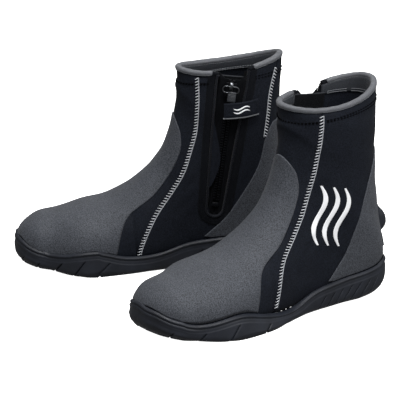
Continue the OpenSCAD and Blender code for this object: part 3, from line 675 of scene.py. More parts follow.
def angle_on(line, t):
    """Angle of a chart line at t."""
    order = np.argsort(line[:, 0])
    return np.interp(t, line[order, 0], line[order, 1])


def panel(boot, name, grid):
    """A panel as thick as the neoprene, drawn down at its seams."""
    plate = soft_plate(boot, boot.trimmed(grid), -NEOPRENE, 0, PANEL_EDGE, SEAM_PINCH)
    plate.make(name, "neoprene", "boot", "neoprene", [name])


def cover(boot, name, rim, first, last, x, y):
    """A rubberised cover from the rubber's rim up between its two edges, closed above by a low arch."""
    arch = np.stack([0.12 * np.sin(np.pi * x), 0 * x], 1)
    high = mix(first[-1], last[-1], x[:, None]) + arch
    grid = coons(shared_out(boot, rim, x), high, first, last, x, y)
    plate = soft_plate(boot, grid, OVERLAY_UNDER, OVERLAY + 0.1, 1.0)
    plate.make(name, "overlay", "boot", "grey_overlay", [name])


def front_panel(boot):
    t = np.r_[np.linspace(0.02, 1, 14), np.linspace(1, 12, 110)[1:], np.linspace(12, COLLAR, 30)[1:]]
    foot = boot.share_angle(t, FOOT_SHARE, OUTER)
    outer = boot.line(OUTER_SEAM, OUTER, 200)
    inner = boot.line(INNER_SEAM, INNER, 200) + [0, 360]
    a0 = np.where(t < outer[:, 0].min(), foot, angle_on(outer, t))
    a1 = np.where(t < inner[:, 0].min(), 180 - foot, angle_on(inner, t))
    a = mix((a0 + SEAM_GAP)[:, None], (a1 - SEAM_GAP)[:, None], eased(84, 0.025)[None])
    panel(boot, "front_panel", chart_grid(t[:, None], a))


def outer_quarter(boot):
    x = y = eased(110, 0.012)
    first = boot.chart(spline_at(OUTER_SEAM[::-1], y), OUTER) - [0, SEAM_GAP]
    last = boot.chart(spline_at(REAR_SEAM[::-1], y), INNER) + [0, SEAM_GAP]
    foot_t = np.linspace(first[0, 0], 9.15, 60)
    foot = np.stack([foot_t, boot.share_angle(foot_t, FOOT_SHARE, OUTER)], 1)
    bottom = np.vstack([first[:1], foot[1:], [[9.32, -68], [9.4, -90], [9.32, -112], [9.15, -180 - foot[-1, 1]]],
                        last[:1]])
    high = chart_grid(COLLAR, mix(first[-1, 1], last[-1, 1], x))
    first[-1, 0] = last[-1, 0] = COLLAR
    panel(boot, "outer_quarter", coons(shared_out(boot, bottom, x), high, first, last, x, y))


def inner_quarter(boot):
    """Panel in rings round the zip opening, out to the front seam, the sole and the rear seam."""
    slot = boot.chart(even_along(slot_line(0), 300), INNER)
    slot[0, 0] = slot[-1, 0] = COLLAR
    seam, rear = (boot.chart(spline_at(line, np.linspace(0, 1, 161)), INNER) - [0, SEAM_GAP]
                  for line in (INNER_SEAM, REAR_SEAM[::-1]))
    t = np.linspace(seam[-1, 0], rear[0, 0], 82)[1:-1]
    foot = np.stack([t, -180 - boot.share_angle(t, FOOT_SHARE, OUTER)], 1)
    seam[0, 0] = rear[-1, 0] = COLLAR
    around = np.vstack([even_along(seam, 110), even_along(foot, 78), even_along(rear, 110)])
    around = picked(around, np.arange(len(around)), np.linspace(0, len(around) - 1, len(slot)))
    panel(boot, "inner_quarter", mix(slot[None], around[None], eased(44, 0.03)[:, None, None]))


def over_rim(boot, u, side, rise=RIM_LAP):
    """Chart points a little above the rubber's rim, at forward places u."""
    dense = spline_at(RIM[side], np.linspace(0, 1, 200))
    u = np.asarray(u, float)
    return boot.chart(np.stack([u, np.interp(u, dense[:, 0], dense[:, 1]) + rise], -1), side)


def vamp_overlay(boot):
    y = np.r_[0, 0.004, 0.01, 0.02, np.linspace(0.035, 0.985, 96), 0.993, 1]
    edge = spline_at(VAMP_EDGE, y)
    first, last = boot.chart(edge, OUTER), boot.chart(edge, INNER) + [0, 360]
    outer_rim = over_rim(boot, np.linspace(181, 281, 90), OUTER)
    inner_rim = over_rim(boot, np.linspace(281, 181, 90), INNER) + [0, 360]
    toe = spline_at([outer_rim[-1], (0.6, 55), (0.5, 90), (0.6, 125), inner_rim[0]], np.linspace(0, 1, 40))
    rim = np.vstack([outer_rim, toe[1:-1], inner_rim])
    first[0], last[0] = rim[0], rim[-1]
    cover(boot, "vamp_overlay", rim, first, last, np.linspace(0, 1, 181), y)


def heel_overlay(boot):
    x = y = eased(90, 0.012)
    first, last = (boot.chart(spline_at(HEEL_EDGE[side], y), side) for side in (OUTER, INNER))
    rim = np.vstack([first[:1], over_rim(boot, np.linspace(76, 7, 60), OUTER), [[RIM_HEEL + 0.04, -90]],
                     over_rim(boot, np.linspace(7, 80, 60), INNER), last[:1]])
    cover(boot, "heel_overlay", rim, first, last, x, y)


# ---------------------------------------------------------------- seams and hems

def flatlock(boot, name, points, side, shares, rear_sign):
    """Slanted thread bars across a butted seam, with a cord line along its rear edge."""
    line = boot.line(points, side, 400, shares)
    base, ups = boot.above(line, 0), boot.normal(line[:, 0], line[:, 1])
    across = unit(np.cross(unit(np.gradient(base, axis=0)), ups)) * rear_sign
    step = run_of(base)

    def at(s, sideways, d):
        here, way, up = (picked(A, step, s) for A in (base, across, ups))
        return here + sideways * way + d * up

    def up_at(s):
        return at(s, 0, 1) - at(s, 0, 0)

    bars = Mesh(boot)
    k = np.linspace(-1, 1, 9)
    rise = 0.35 + 0.35 * (1 - np.abs(k) ** 3) - 0.9 * (np.abs(k) > 0.98)
    radii = 0.43 - 0.12 * np.abs(k) ** 4
    for s in np.arange(1.5, step[-1] - 1.5, SEAM_PITCH):
        path = np.array([at(s - SEAM_LEAN * q, SEAM_HALF * q, h) for q, h in zip(k, rise)])
        bars.add(*tube(path, up_at(s), radii, radii * 0.8, sides=6))
    bars.make(f"{name}_bars", "seam", "boot", "seam_thread", [name])
    s = np.arange(0.5, step[-1] - 0.5, 0.55)
    path = [at(x, SEAM_HALF + 0.3 + 0.10 * math.sin(x * 2 * math.pi / SEAM_PITCH), 0.30) for x in s]
    twist = CORD_R * (1 + 0.14 * np.sin(s * 2 * np.pi / (SEAM_PITCH / 2)))
    Mesh(boot).add(*tube(path, [up_at(x) for x in s], twist, sides=7)).make(
        f"{name}_cord", "cord", "boot", "seam_thread")


def seams(boot):
    flatlock(boot, "outer_front_seam", OUTER_SEAM, OUTER, (0.075, 0.945), 1)
    flatlock(boot, "inner_front_seam", INNER_SEAM, INNER, (0.075, 0.945), -1)
    flatlock(boot, "rear_seam", REAR_SEAM, INNER, (0.085, 0.56), 1)


def hem_height(u):
    return mix(212.0, 199.0, u / 115)


def hem_line(boot, a):
    """Chart line at the hem's height for the angles a."""
    t = np.full(len(a), 14.2)
    for _ in range(12):
        p = boot.skin(t, a)
        t = np.clip(t + (hem_height(p[:, 1]) - p[:, 2]) / 26, 12, 14.95)
    return np.stack([t, a], 1)


def hem_stitching(boot):
    """Ladder stitch below the binding, outside, and its pale loops inside."""
    seam_out, seam_in, rear_seam = (boot.chart((u, hem_height(u)), side)[1]
                                    for u, side in ((90, OUTER), (94, INNER), (12, INNER)))
    front, rear = (boot.chart(zip_side(0, w), INNER)[1] for w in (SLOT_TOP + 8, -SLOT_TOP - 8))
    spans = [(seam_out + 3.5, seam_in + 356.5), (rear_seam + 3.5, seam_out - 3.5),
             (rear + 1, rear_seam - 3.5), (seam_in + 3.5, front - 1)]
    outside, inside = Mesh(boot), Mesh(boot)
    for a0, a1 in spans:
        line = hem_line(boot, np.linspace(a0, a1, 120))
        for sign in (1, -1):
            outside.stitch_line(line + [sign * 0.05, 0], 0.1, 3.8, 2.1, 0.55, 0.4)
            inside.stitch_line(line + [sign * 0.035, 0], -NEOPRENE - 0.75, 2.9, 2.2, 0.4, -0.3)
    outside.make("hem_thread", "dark_thread", "boot", "dark_thread", ["hem_stitching"])
    inside.make("hem_thread_inside", "grey_thread", "boot", "dark_thread")


def collar_ends(boot):
    """Angles where the collar ends at the notch, in front of it and behind it."""
    return (boot.chart(zip_side(-NOTCH_RISE, SLOT_TOP), INNER)[1] + 360,
            boot.chart(zip_side(-NOTCH_RISE, -SLOT_TOP), INNER)[1])


def collar_up(boot, a):
    """Direction up the skin at the collar's edge."""
    return unit(boot.skin(COLLAR + 0.05, a) - boot.skin(COLLAR - 0.05, a))


def collar_binding(boot):
    """Tape folded over the collar's edge, with a row of stitches on each side."""
    front, rear = collar_ends(boot)
    a = np.linspace(front - 8.5, rear + 8.5, 260)
    k, up, c = np.arange(len(a)), collar_up(boot, a), chart_grid(COLLAR, a)
    P = boot.above(c, -NEOPRENE / 2) + 0.2 * up
    P = P + (0.12 * np.sin(k * 0.55) + 0.08 * np.sin(k * 0.23 + 1))[:, None] * up
    ends, ups, r = rounded_ends(P, up, BINDING_HALF, 0.5)
    shape = r / BINDING_HALF
    wide = np.pad(BINDING_HALF + 0.07 * np.sin(k * 0.8), 3, mode="edge") * shape
    Mesh(boot).add(*tube(ends, ups, wide, 2.75 * shape, sides=28, power=0.85)).make(
        "collar_binding", "binding", "boot", "binding_tape", ["collar_binding"])
    thread, out = Mesh(boot), boot.normal(c[:, 0], c[:, 1])
    for side in (1, -1):
        edge = P + side * out * 2.95 - up * 1.75
        even = even_along(np.hstack([edge, out * side]), 86)
        keep = even_along(edge, 86)
        along = unit(np.gradient(keep, axis=0))
        thread.stitches(keep[1:-1], unit(even[1:-1, 3:]), along[1:-1], 1.9, 0.22, 0.22)
    thread.make("binding_thread", "grey_thread", "boot", "binding_tape")


def collar_facing(boot):
    """Tape inside the collar, down to the hem stitches, and the facing turned in at the notch."""
    front, rear = collar_ends(boot)
    ring = np.linspace(front - 0.5, rear + 0.5, 200)
    k = np.linspace(0, 1, 9)[:, None]
    band = chart_grid(mix(hem_line(boot, ring)[:, 0] - 0.06, boot.top_t(ring), k), ring[None])
    depth = -NEOPRENE - 0.15 + wrinkle(boot.above(band, 0)) * 0.3 - 0.35 * np.sin(np.pi * k)
    Mesh(boot).plate(boot.above(band, depth + 0.1), boot.above(band, depth - 0.5)).make(
        "collar_facing", "collar_facing", "boot", "binding_tape")
    turned = Mesh(boot)
    for a0, a1 in ((front - 1.8, front - 9.5), (rear + 1.8, rear + 9.5)):
        a, k = np.linspace(a0, a1, 16), np.linspace(0, 1, 16)
        rise = collar_up(boot, a)
        P = boot.above(chart_grid(COLLAR, a), -NEOPRENE / 2) + (0.5 * np.sin(3 * k) - 0.5)[:, None] * rise
        path, ups, r = rounded_ends(P, rise, 2.9, 0.35)
        wide = r * (1 + 0.05 * np.sin(9 * np.linspace(0, 1, 22)))
        turned.add(*tube(path, ups, wide, r * 0.86, sides=24, power=0.8))
    turned.make("turned_facing", "facing", "boot", "zip_facing")


# ---------------------------------------------------------------- sole

# Rows over the rim as distances outward and down, then places down the wall in millimetres from the
# rim, and as shares of the rest of the wall
RIM_STEPS = [(-3.6, 4.5), (-0.4, 3.0), (0.6, 1.2), (1.3, 0.35), (2.1, 0.0)]
WALL_MARKS = [0, 0.5, 1.1, 1.8, 2.5, 3.1, 3.6, 4.1, 4.8, 5.8, 7.0, 8.0, 8.6, 9.2]
RING_N, FACE_STEPS, FACE_STEP = 900, 190, 0.7  # lines round the rim, and steps of 0.7 mm down each
WALL_SHARES = [0.06, 0.14, 0.24, 0.36, 0.48, 0.6, 0.72, 0.83, 0.92, 1.0]


def flat_chart(t, a):
    """Chart points spread out flat round the toe tip."""
    return np.stack([t * np.cos(np.radians(a)), t * np.sin(np.radians(a))], -1)


def tread_depth(v, u, inside):
    """Depth of the grooves in the bottom; inside is the distance from the outline."""
    centre = -2 - 5 * smooth_step(u, 150, 260)
    x = v - centre
    forefoot = smooth_step(u, 125, 133)
    heel = 1 - smooth_step(u, 78, 86)
    chevron = np.abs(((u + 0.5 * np.abs(x)) / 9.5) % 1 - 0.5) * 9.5
    waist = np.abs((u / 7.0) % 1 - 0.5) * 7.0
    groove = np.maximum(forefoot, heel) * (1 - smooth_step(chevron, 0.7, 1.5))
    ribs = 0.6 * (1 - np.maximum(forefoot, heel)) * (1 - smooth_step(waist, 0.8, 1.8))
    split = np.maximum(forefoot, heel) * (1 - smooth_step(np.abs(x), 0.8, 1.6))
    band = 1 - smooth_step(np.abs(inside - 9), 0.7, 1.5)
    return 1.7 * np.maximum(np.maximum(groove, ribs) * smooth_step(inside, 9, 10.5),
                            np.maximum(band, split * smooth_step(inside, 9, 10.5)))


def sole_face(boot, ring, steps, size):
    """Outer face of the rubber before its relief: lines from the rim down the wall and in under the foot.

    ring holds flat chart points; the result is [line, step] points, and the surface's normals.
    """
    t = np.maximum(np.hypot(ring[:, 0], ring[:, 1]), 0.02)
    a = np.degrees(np.arctan2(ring[:, 1], ring[:, 0]))
    rim = boot.skin(t, np.where(a > 90, a - 360, a))
    u = rim[:, 1]
    core = np.stack([-3 - 5 * smooth_step(u, 140, 240), mix(np.clip(u, 42, 236), 139, 0.12)], 1)
    inward = unit(core - rim[:, :2])
    outer = rim[:, 0] > core[:, 0]
    # The wall keeps the foot's full width where the rim dips below it, and flares out beside the ball
    push = 0
    for side, angle in ((outer, 0), (~outer, -180)):
        row = boot.skin(np.linspace(1, 9.2, 90), float(angle))
        wide = np.abs(np.interp(u, row[::-1, 1], row[::-1, 0]) - rim[:, 0])
        push = push + side * wide * smooth_step(u, 60, 90) * (1 - smooth_step(u, 225, 250))
    flare = np.where(outer, np.interp(u, [105, 135, 165, 195, 215, 245], [0, 1.5, 5, 5, 3.5, 0]),
                     np.interp(u, [105, 165, 215, 250], [0, 1, 1, 0]))
    bend = np.where(outer, np.interp(u, [-3, 12, 40, 110, 150, 215, 250, 280], [26, 18, 10, 8, 3.5, 3.5, 7, 9]),
                    np.interp(u, [-3, 12, 40, 110, 160, 215, 250, 280], [26, 18, 10, 8, 5, 5, 7, 9]))
    push, flare, bend = (ring_smoothed(x, 15) for x in (push, flare, bend))
    tall = rim[:, 2] - ground(u)
    bend = np.minimum(bend, 0.75 * tall)[:, None]
    down = np.hypot(tall[:, None] - bend, flare[:, None])
    turn, w0 = bend * math.pi / 2, (WALL + push)[:, None]
    w1 = w0 + flare[:, None]
    inner = np.linalg.norm(core - rim[:, :2], axis=1)[:, None] + w1 - bend - 0.5
    run = np.minimum(size * np.arange(steps + 1)[None], down + turn + inner)
    k, q = np.clip(run / down, 0, 1), np.clip((run - down) / bend, 0, math.pi / 2)
    w = mix(w0, w1, k) - bend * (1 - np.cos(q)) - np.maximum(run - down - turn, 0)
    high = (tall[:, None] - bend) * (1 - k) + bend * (1 - np.sin(q))
    plan = rim[:, None, :2] - inward[:, None] * w[..., None]
    base = np.concatenate([plan, (ground(plan[..., 1]) + high)[..., None]], -1)
    normal = unit(np.cross(np.roll(base, -1, 0) - np.roll(base, 1, 0), np.gradient(base, axis=1)))
    flip = np.sign((normal[:, 3, :2] * -inward).sum(1))
    return base, normal * flip[:, None, None], rim, inward


# Places of the slanted cuts in the wall, as distances forward from the heel
SIPES = {OUTER: (17, 28, 40, 51, 63, 74, 86, 166, 205, 240, 266),
         INNER: (18, 29, 41, 52, 64, 75, 87, 186, 212, 236, 255, 271)}


def ring_smoothed(x, n):
    """Running mean over n values to each side, round a closed ring."""
    return np.convolve(np.r_[x[-n:], x, x[:n]], np.ones(2 * n + 1) / (2 * n + 1), "valid")


def rim_ring(boot):
    """Closed rim line as flat chart points, outer side from the heel first, and its running length."""
    outer = over_rim(boot, np.linspace(*RIM_SPAN, RIM_N), OUTER, 0)
    inner = over_rim(boot, np.linspace(*RIM_SPAN[::-1], RIM_N), INNER, 0)
    turn = np.linspace(0, 1, RIM_TURN_N)
    toe = spline_at([outer[-1], (0.62, 40), (RIM_TOE, 90), (0.62, 140), inner[0] + [0, 360]], turn)
    heel = spline_at([inner[-1], (RIM_HEEL, -90), outer[0]], turn)
    flat = np.vstack([flat_chart(c[:, 0], c[:, 1]) for c in (outer, toe[1:-1], inner, heel[1:])])
    points = boot.skin(np.maximum(np.hypot(*flat.T), 0.02), np.degrees(np.arctan2(flat[:, 1], flat[:, 0])))
    return flat, points, run_of(points)


def cut_columns(points, step):
    """Places round the rim, close together at each slanted cut, and how deep the cut is at each."""
    inner = slice(len(points) - RIM_TURN_N + 1 - RIM_N, len(points) - RIM_TURN_N + 1)
    cuts = [np.interp(u, points[:RIM_N, 1], step[:RIM_N]) for u in SIPES[OUTER]]
    cuts += [np.interp(-u, -points[inner, 1], step[inner]) for u in SIPES[INNER]]
    cuts = np.sort(cuts)
    half, apart = 1.3, 1.9
    close, depth = np.array([-half, -1.0, -0.55, 0.55, 1.0, half]), [0, 0.15, 1, 1, 0.15, 0]
    cols, groove = [], []
    for c, nxt in zip(cuts, np.r_[cuts[1:], cuts[0] + step[-1]]):
        n = max(2, int(round((nxt - c - 2 * half) / apart)))
        between = np.linspace(c + half, nxt - half, n + 1)[1:-1]
        cols += [*(c + close), *between]
        groove += depth + [0] * len(between)
    return np.array(cols), np.array(groove)


def outsole(boot):
    """Rubber cup: rim, wall with its lines and slanted cuts, toe bumper and tread, as rows round the rim."""
    flat, points, step = rim_ring(boot)
    total, fine = step[-1], RING_N
    s_fine = np.linspace(0, total, fine, endpoint=False)
    start = np.stack([ring_smoothed(q, 10) for q in picked(flat, step, s_fine).T], 1)
    base, normal, rim, inward = sole_face(boot, start, FACE_STEPS, FACE_STEP)
    run = np.concatenate([np.zeros((fine, 1)), np.cumsum(np.linalg.norm(np.diff(base, axis=1), axis=2), 1)], 1)
    # Length of wall above the turn into the bottom, smoothed along the rim
    low = base[:, :, 2] - ground(base[:, :, 1]) < 1.4
    wall = ring_smoothed(np.array([run[i, np.argmax(row)] if row.any() else run[i, -1]
                                   for i, row in enumerate(low)]), 12)

    def sample(s, h):
        """Base and normal at ring distances s, h below the rim along the face."""
        i = (s % total) / total * fine
        lo = i.astype(int) % fine
        f = (i - np.floor(i))[:, None]
        rows = []
        for r in (lo, (lo + 1) % fine):
            pos = np.array([np.interp(hh, run[q], np.arange(run.shape[1])) for hh, q in zip(h, r)])
            j = np.minimum(pos.astype(int), run.shape[1] - 2)
            g = (pos - j)[:, None]
            rows.append([mix(A[r, j], A[r, j + 1], g) for A in (base, normal)])
        return [mix(x, y, f) for x, y in zip(*rows)]

    cols, groove = cut_columns(points, step)
    at_col = cols % total
    ring_u = np.interp(at_col, step, points[:, 1])
    heading = np.interp(at_col, step, np.gradient(points[:, 1], step))
    slant = 0.85 * np.clip(heading * 1.3, -1, 1)
    wall_len = np.interp(at_col, s_fine, wall)
    squeeze = np.minimum(1, (wall_len - 3) / 14)
    toe_near = smooth_step(ring_u, 236, 268)
    around = np.r_[s_fine, total]
    top, way = (picked(np.vstack([A, A[:1]]), around, at_col) for A in (rim, inward))
    # Past the relief of the wall's upper part, where only shares of its length count
    beyond = np.full(len(cols), 99.0)
    grid = [top - np.c_[way * (d * (1 - 0.55 * toe_near))[:, None], np.full(len(cols), down)]
            for d, down in RIM_STEPS]
    rows = [(h * squeeze, 0) for h in WALL_MARKS]
    rows += [(mix(WALL_MARKS[-1] * squeeze, wall_len, share), share) for share in WALL_SHARES]
    for h, share in rows:
        at = h / squeeze if share == 0 else beyond
        b, n = sample(cols + slant * np.maximum(h - 7 * squeeze, 0), h)
        lip = 0.8 * np.sin(np.pi * np.clip(at / 3.5, 0, 1)) ** 0.7
        trough = -0.6 * np.exp(-((at - 4.3) / 0.6) ** 2)
        step_out = 0.5 * smooth_step(h / squeeze, 7.6, 8.8)
        thin = -1.5 * np.exp(-(at / 1.2) ** 2) - toe_near * 1.5 * np.exp(-(at / 4.5) ** 2)
        cut = -2.3 * groove * smooth_step(share, 0.02, 0.12)
        cut = cut * np.where(toe_near > 0.5, smooth_step(share, 0.35, 0.55), 1)
        # Toe bumper: a raised lens between two ridges
        lens = toe_near * (0.7 * np.exp(-((h - 6.0) / 1.2) ** 2) + 0.6 * np.exp(-((h - 14.5) / 1.4) ** 2)
                           - 0.5 * np.exp(-((h - 10) / 2.4) ** 2))
        round_foot = -0.8 * smooth_step(share, 0.88, 1.0)
        p = b + n * (lip + trough + step_out + thin + cut + lens + round_foot)[:, None]
        p[:, 2] = np.maximum(p[:, 2], ground(p[:, 1]))
        grid.append(p)
    # Bottom, from the foot of the wall in to the middle
    edge = grid[-1] * [1, 1, 0]
    last = cols + slant * np.maximum(wall_len - 7, 0)
    reach = np.array([run[int((c % total) / total * fine) % fine, -1] for c in last])
    for share in np.linspace(0, 1, 40)[1:] ** 0.95:
        p, _ = sample(last, mix(wall_len, reach, share))
        inside = edge_distance(p * [1, 1, 0], edge)
        cut = 1.5 * groove * (1 - smooth_step(inside, 4.0, 5.5))
        p[:, 2] = ground(p[:, 1]) + np.maximum(tread_depth(p[:, 0], p[:, 1], inside), cut)
        grid.append(p)
    Mesh(boot).sheet(grid, ring=True).make("outsole", "sole", "boot", "sole_rubber", ["outsole"], weld=True)


def heel_rest(boot):
    """Rubber strip up the heel's back, ending in the rounded ridge that a fin strap sits above."""
    z = np.concatenate([np.linspace(44, 58, 16), np.linspace(58, 88, 64)[1:]])
    x = np.linspace(-1, 1, 73)
    x = np.sign(x) * (1 - (1 - np.abs(x)) ** 1.5)
    t = boot.chart(chart_grid(0, z), OUTER)[:, :1]
    half = np.interp(z, [44, 50, 56, 60, 66, 74, 80, 85, 88], [38, 34.5, 32, 31.2, 31.5, 30.5, 28.5, 26.5, 25])
    nub = np.interp(z, [58, 59.5, 60.5, 62, 64, 67, 71, 75, 79, 82, 84.5, 86],
                    [0, 0.3, 1.8, 4.4, 6.3, 7.7, 8, 7.4, 5.6, 3.3, 0.9, 0])
    nub = np.convolve(np.pad(nub, 2, mode="edge"), np.ones(5) / 5, "valid")
    edge = np.sqrt(np.clip(1 - np.abs(x) ** 8, 0, 1))
    shape = np.clip(1 - (np.abs(x) / 0.97) ** 6, 0, 1) ** 0.5
    ends = smooth_step(z, 44, 45) * (1 - smooth_step(z, 86.6, 88))
    neck = -0.7 * np.exp(-((z - 59) / 1.6) ** 2)
    d = OVERLAY + 0.2 + (1.3 + neck)[:, None] * edge * ends[:, None] + nub[:, None] * shape
    ribs = 0.35 * np.exp(-((((z[:, None] - 44) % 3.4) - 1.7) / 0.55) ** 2) * (z < 57)[:, None] * (np.abs(x) < 0.8)
    grid = chart_grid(t, -90 + half[:, None] * x)
    Mesh(boot).plate(boot.above(grid, d + ribs), boot.above(grid, OVERLAY - 0.6)).make(
        "heel_rest", "sole", "boot", "sole_rubber", ["heel_rest"])


def inside_bottom(boot):
    """Lasting board and insole, seen only through the collar."""
    x = np.linspace(0, 1, 41)

    def across(t, past):
        """Chart grid over the sole, from a little past its outer edge to past its inner one."""
        a = boot.share_angle(t, FOOT_SHARE, OUTER)[:, None] - past
        return chart_grid(t[:, None], mix(a, -180 - a, x[None]))

    grid = across(np.linspace(1.4, 9.1, 90), 10)
    Mesh(boot).plate(boot.above(grid, -0.1), boot.above(grid, -1.9)).make(
        "lasting_board", "board", "boot", "lining_board", ["strobel_board"])
    t = np.linspace(1.8, 9, 90)
    grid = across(t, 3)
    edge = np.minimum(np.minimum(x, 1 - x)[None] * 60, np.minimum(t - 1.8, 9 - t)[:, None] * 25)
    rise = -4.6 + 1.0 * (1 - smooth_step(edge, 0, 2.5))
    Mesh(boot).plate(boot.above(grid, -2.1), boot.above(grid, rise)).make(
        "insole", "insole", "boot", "insole_foam", ["insole"])


# ---------------------------------------------------------------- zip

def slot_chart(boot, grow, n=300):
    """Chart line round the zip opening, grown by some millimetres and cut off below the binding."""
    c = boot.chart(even_along(slot_line(grow), n), INNER)
    c[:, 0] = np.minimum(c[:, 0], boot.top_t(c[:, 1]) - 0.02)
    return c


def zip_surround(boot):
    inner, outer = slot_chart(boot, 1.9), slot_chart(boot, 10)
    x = np.r_[0, 0.03, 0.08, 0.16, 0.3, 0.5, 0.7, 0.84, 0.92, 0.97, 1]
    grid = mix(inner[None], outer[None], x[:, None, None])
    wave = np.array([0, 0.25, 0.4, 0.48, 0.5, 0.46, 0.5, 0.48, 0.4, 0.25, 0])[:, None]
    Mesh(boot).plate(boot.above(grid, 0.06 + wave), boot.above(grid, -0.3)).make(
        "zip_surround", "facing", "boot", "zip_facing", ["zip_surround"])
    thread = Mesh(boot)
    for grow in (5.6, 8.6):
        thread.stitch_line(slot_chart(boot, grow, 400), 0.52, 2.6, 1.9, 0.26)
    thread.make("zip_surround_thread", "grey_dark", "boot", "dark_thread")


def zip_piping(boot):
    """Corded edge of the opening, with a lip folded down over it and the opening's lining behind."""
    c = slot_chart(boot, 0.9, 360)
    bead = tube(*rounded_ends(boot.above(c, 0.55), boot.normal(c[:, 0], c[:, 1]), 0.95), sides=12)
    inner, outer = slot_chart(boot, -0.6), slot_chart(boot, 0.6)
    lip = [boot.above(outer, 0.9), boot.above(mix(outer, inner, 0.6), 0.6), boot.above(inner, -0.4),
           boot.above(inner, -1.4)]
    Mesh(boot).add(*bead).sheet(lip).make("zip_piping", "welt", "boot", "zip_facing", ["zip_piping"], outward=False)
    lining = [lip[-1], boot.above(inner, -3.2), boot.above(slot_chart(boot, -3.2), -4.0), boot.above(outer, -4.4)]
    Mesh(boot).sheet(lining).make("zip_opening_edge", "tape", "boot", "zip_facing", outward=False)


def zip_gusset(boot):
    """Flap behind the zip, with a rolled hem along its top."""
    s = np.linspace(-12, ZIP_LEN - 6, 90)[:, None]
    x = np.linspace(-1, 1, 31)
    c = boot.chart(zip_side(s, (half_slot(s) + 5) * x), INNER)
    fold = -5.2 - 1.4 * (1 - x ** 2)[None] + 0.25 * np.sin(s / 9) * (1 - x ** 2)[None]
    Mesh(boot).plate(boot.above(c, fold), boot.above(c, fold - 1.2)).make(
        "zip_gusset", "gusset", "boot", "gusset_fabric", ["zip_gusset"])
    x = np.linspace(-1, 1, 60)
    c = boot.chart(zip_side(-11.6, x * (half_slot(-11.6) + 4.6)), INNER)
    hem = rounded_ends(boot.above(c, -5.2 - 1.4 * (1 - x ** 2) - 0.6), boot.normal(c[:, 0], c[:, 1]), 0.9)
    Mesh(boot).add(*tube(*hem, sides=10)).make("gusset_hem", "cord_grey", "boot", "gusset_fabric")


def zip_tapes(boot):
    """Woven tape halves with a raised cord beside the teeth and a turned top corner."""
    e = ZIP_LEN - SLOT_END
    y = np.r_[np.linspace(8.5, -e, 120), -e - np.linspace(0.5, SLOT_END - 2.3, 8)][:, None]
    below = np.clip((-y - e) / (SLOT_END - 0.5), 0, 1)
    edge = np.where(below > 0, (SLOT_END - 0.5) * np.sqrt(1 - below ** 2), half_slot(-y) - 0.5)
    X = mix(0.6, edge, np.r_[0, 0.03, 0.08, 0.16, 0.24, 0.32, 0.5, 0.75, 1][None])
    Y = y + np.where(y > 8.4, 1, 0) * smooth_step(X, 8, 14.7) * 6.5
    Z = TAPE_Z + TAPE_T + 0.45 * np.exp(-((X - 4.2) / 0.55) ** 2)
    _, (_, up, out) = boot.zip_frame()
    rows = np.arange(6, -e + 2, -2.2)
    for sign, name in ((-1, "front"), (1, "rear")):
        top, under = (boot.on_zip(np.stack([sign * X, Y, z], -1)) for z in (Z, np.full(X.shape, TAPE_Z)))
        Mesh(boot).plate(top, under).make(f"zip_tape_{name}", "tape", "boot", "zip_tape", [f"zip_tape_{name}"])
        P = boot.on_zip(np.stack([np.full(len(rows), sign * 5.3), rows, np.full(len(rows), TAPE_Z + TAPE_T)], 1))
        Mesh(boot).stitches(P, out, up, 1.6, 0.18, 0.22).make(
            f"zip_tape_thread_{name}", "grey_dark", "boot", "zip_tape")


def tooth(sign):
    """One moulded tooth: a waisted head that reaches past the middle gap, on a broad foot."""
    side = [(0.1, 0.62), (0.55, 0.86), (1.2, 0.5), (1.9, 0.62), (TOOTH_W + 0.1, 0.8)]
    outline = np.array([(x, -y) for x, y in side] + side[::-1])
    centre = np.array([1.3, 0])
    return closed_stack([np.c_[sign * (centre[0] + (outline[:, 0] - centre[0]) * k), outline[:, 1] * k,
                               np.full(len(outline), z)]
                         for z, k in ((0.0, 1.0), (1.5, 1.0), (1.85, 0.93), (2.0, 0.78))])


def zip_teeth(boot):
    count = int((ZIP_LEN - SLOT_END - 10) / TOOTH_PITCH)
    for sign, name in ((-1, "front"), (1, "rear")):
        V, F = tooth(sign)
        mesh = Mesh(boot)
        for k in range(count + 1):
            y = 2 - (k + (0.5 if sign > 0 else 0)) * TOOTH_PITCH + 0.8
            mesh.on_zip(V + [sign * 0.6, y, TAPE_Z + TAPE_T - 0.02], F)
        mesh.make(f"zip_teeth_{name}", "teeth", "boot", "zip_plastic", [f"zip_teeth_{name}"], smooth=False)


def rounded_block(x0, x1, y0, y1, z0, z1, r, taper=None):
    """Block with rounded edges, as stacked rounded rectangles; taper narrows x toward y0."""
    ring = []
    for cx, cy, a0 in ((x1, y1, 0), (x0, y1, 90), (x0, y0, 180), (x1, y0, 270)):
        sx, sy = (1 if cx == x1 else -1), (1 if cy == y1 else -1)
        for a in np.radians(a0 + np.array([0, 30, 60, 90])):
            ring.append((cx - sx * r + r * math.cos(a), cy - sy * r + r * math.sin(a)))
    ring = np.array(ring)
    if taper:
        mid = (x0 + x1) / 2
        k = mix(taper, 1.0, smooth_step((ring[:, 1] - y0) / (y1 - y0), 0, 0.55))
        ring[:, 0] = mid + (ring[:, 0] - mid) * k
    centre = np.array([(x0 + x1) / 2, (y0 + y1) / 2])
    b = min(r, (z1 - z0) * 0.45) * 0.7
    reach = np.abs(ring - centre).max(0)
    layers = [(z0, b), (z0 + b * 0.3, b * 0.3), (z0 + b, 0), (z1 - b, 0), (z1 - b * 0.3, b * 0.3), (z1, b)]
    return closed_stack([np.c_[centre + (ring - centre) * (1 - inset / reach), np.full(len(ring), z)]
                         for z, inset in layers])


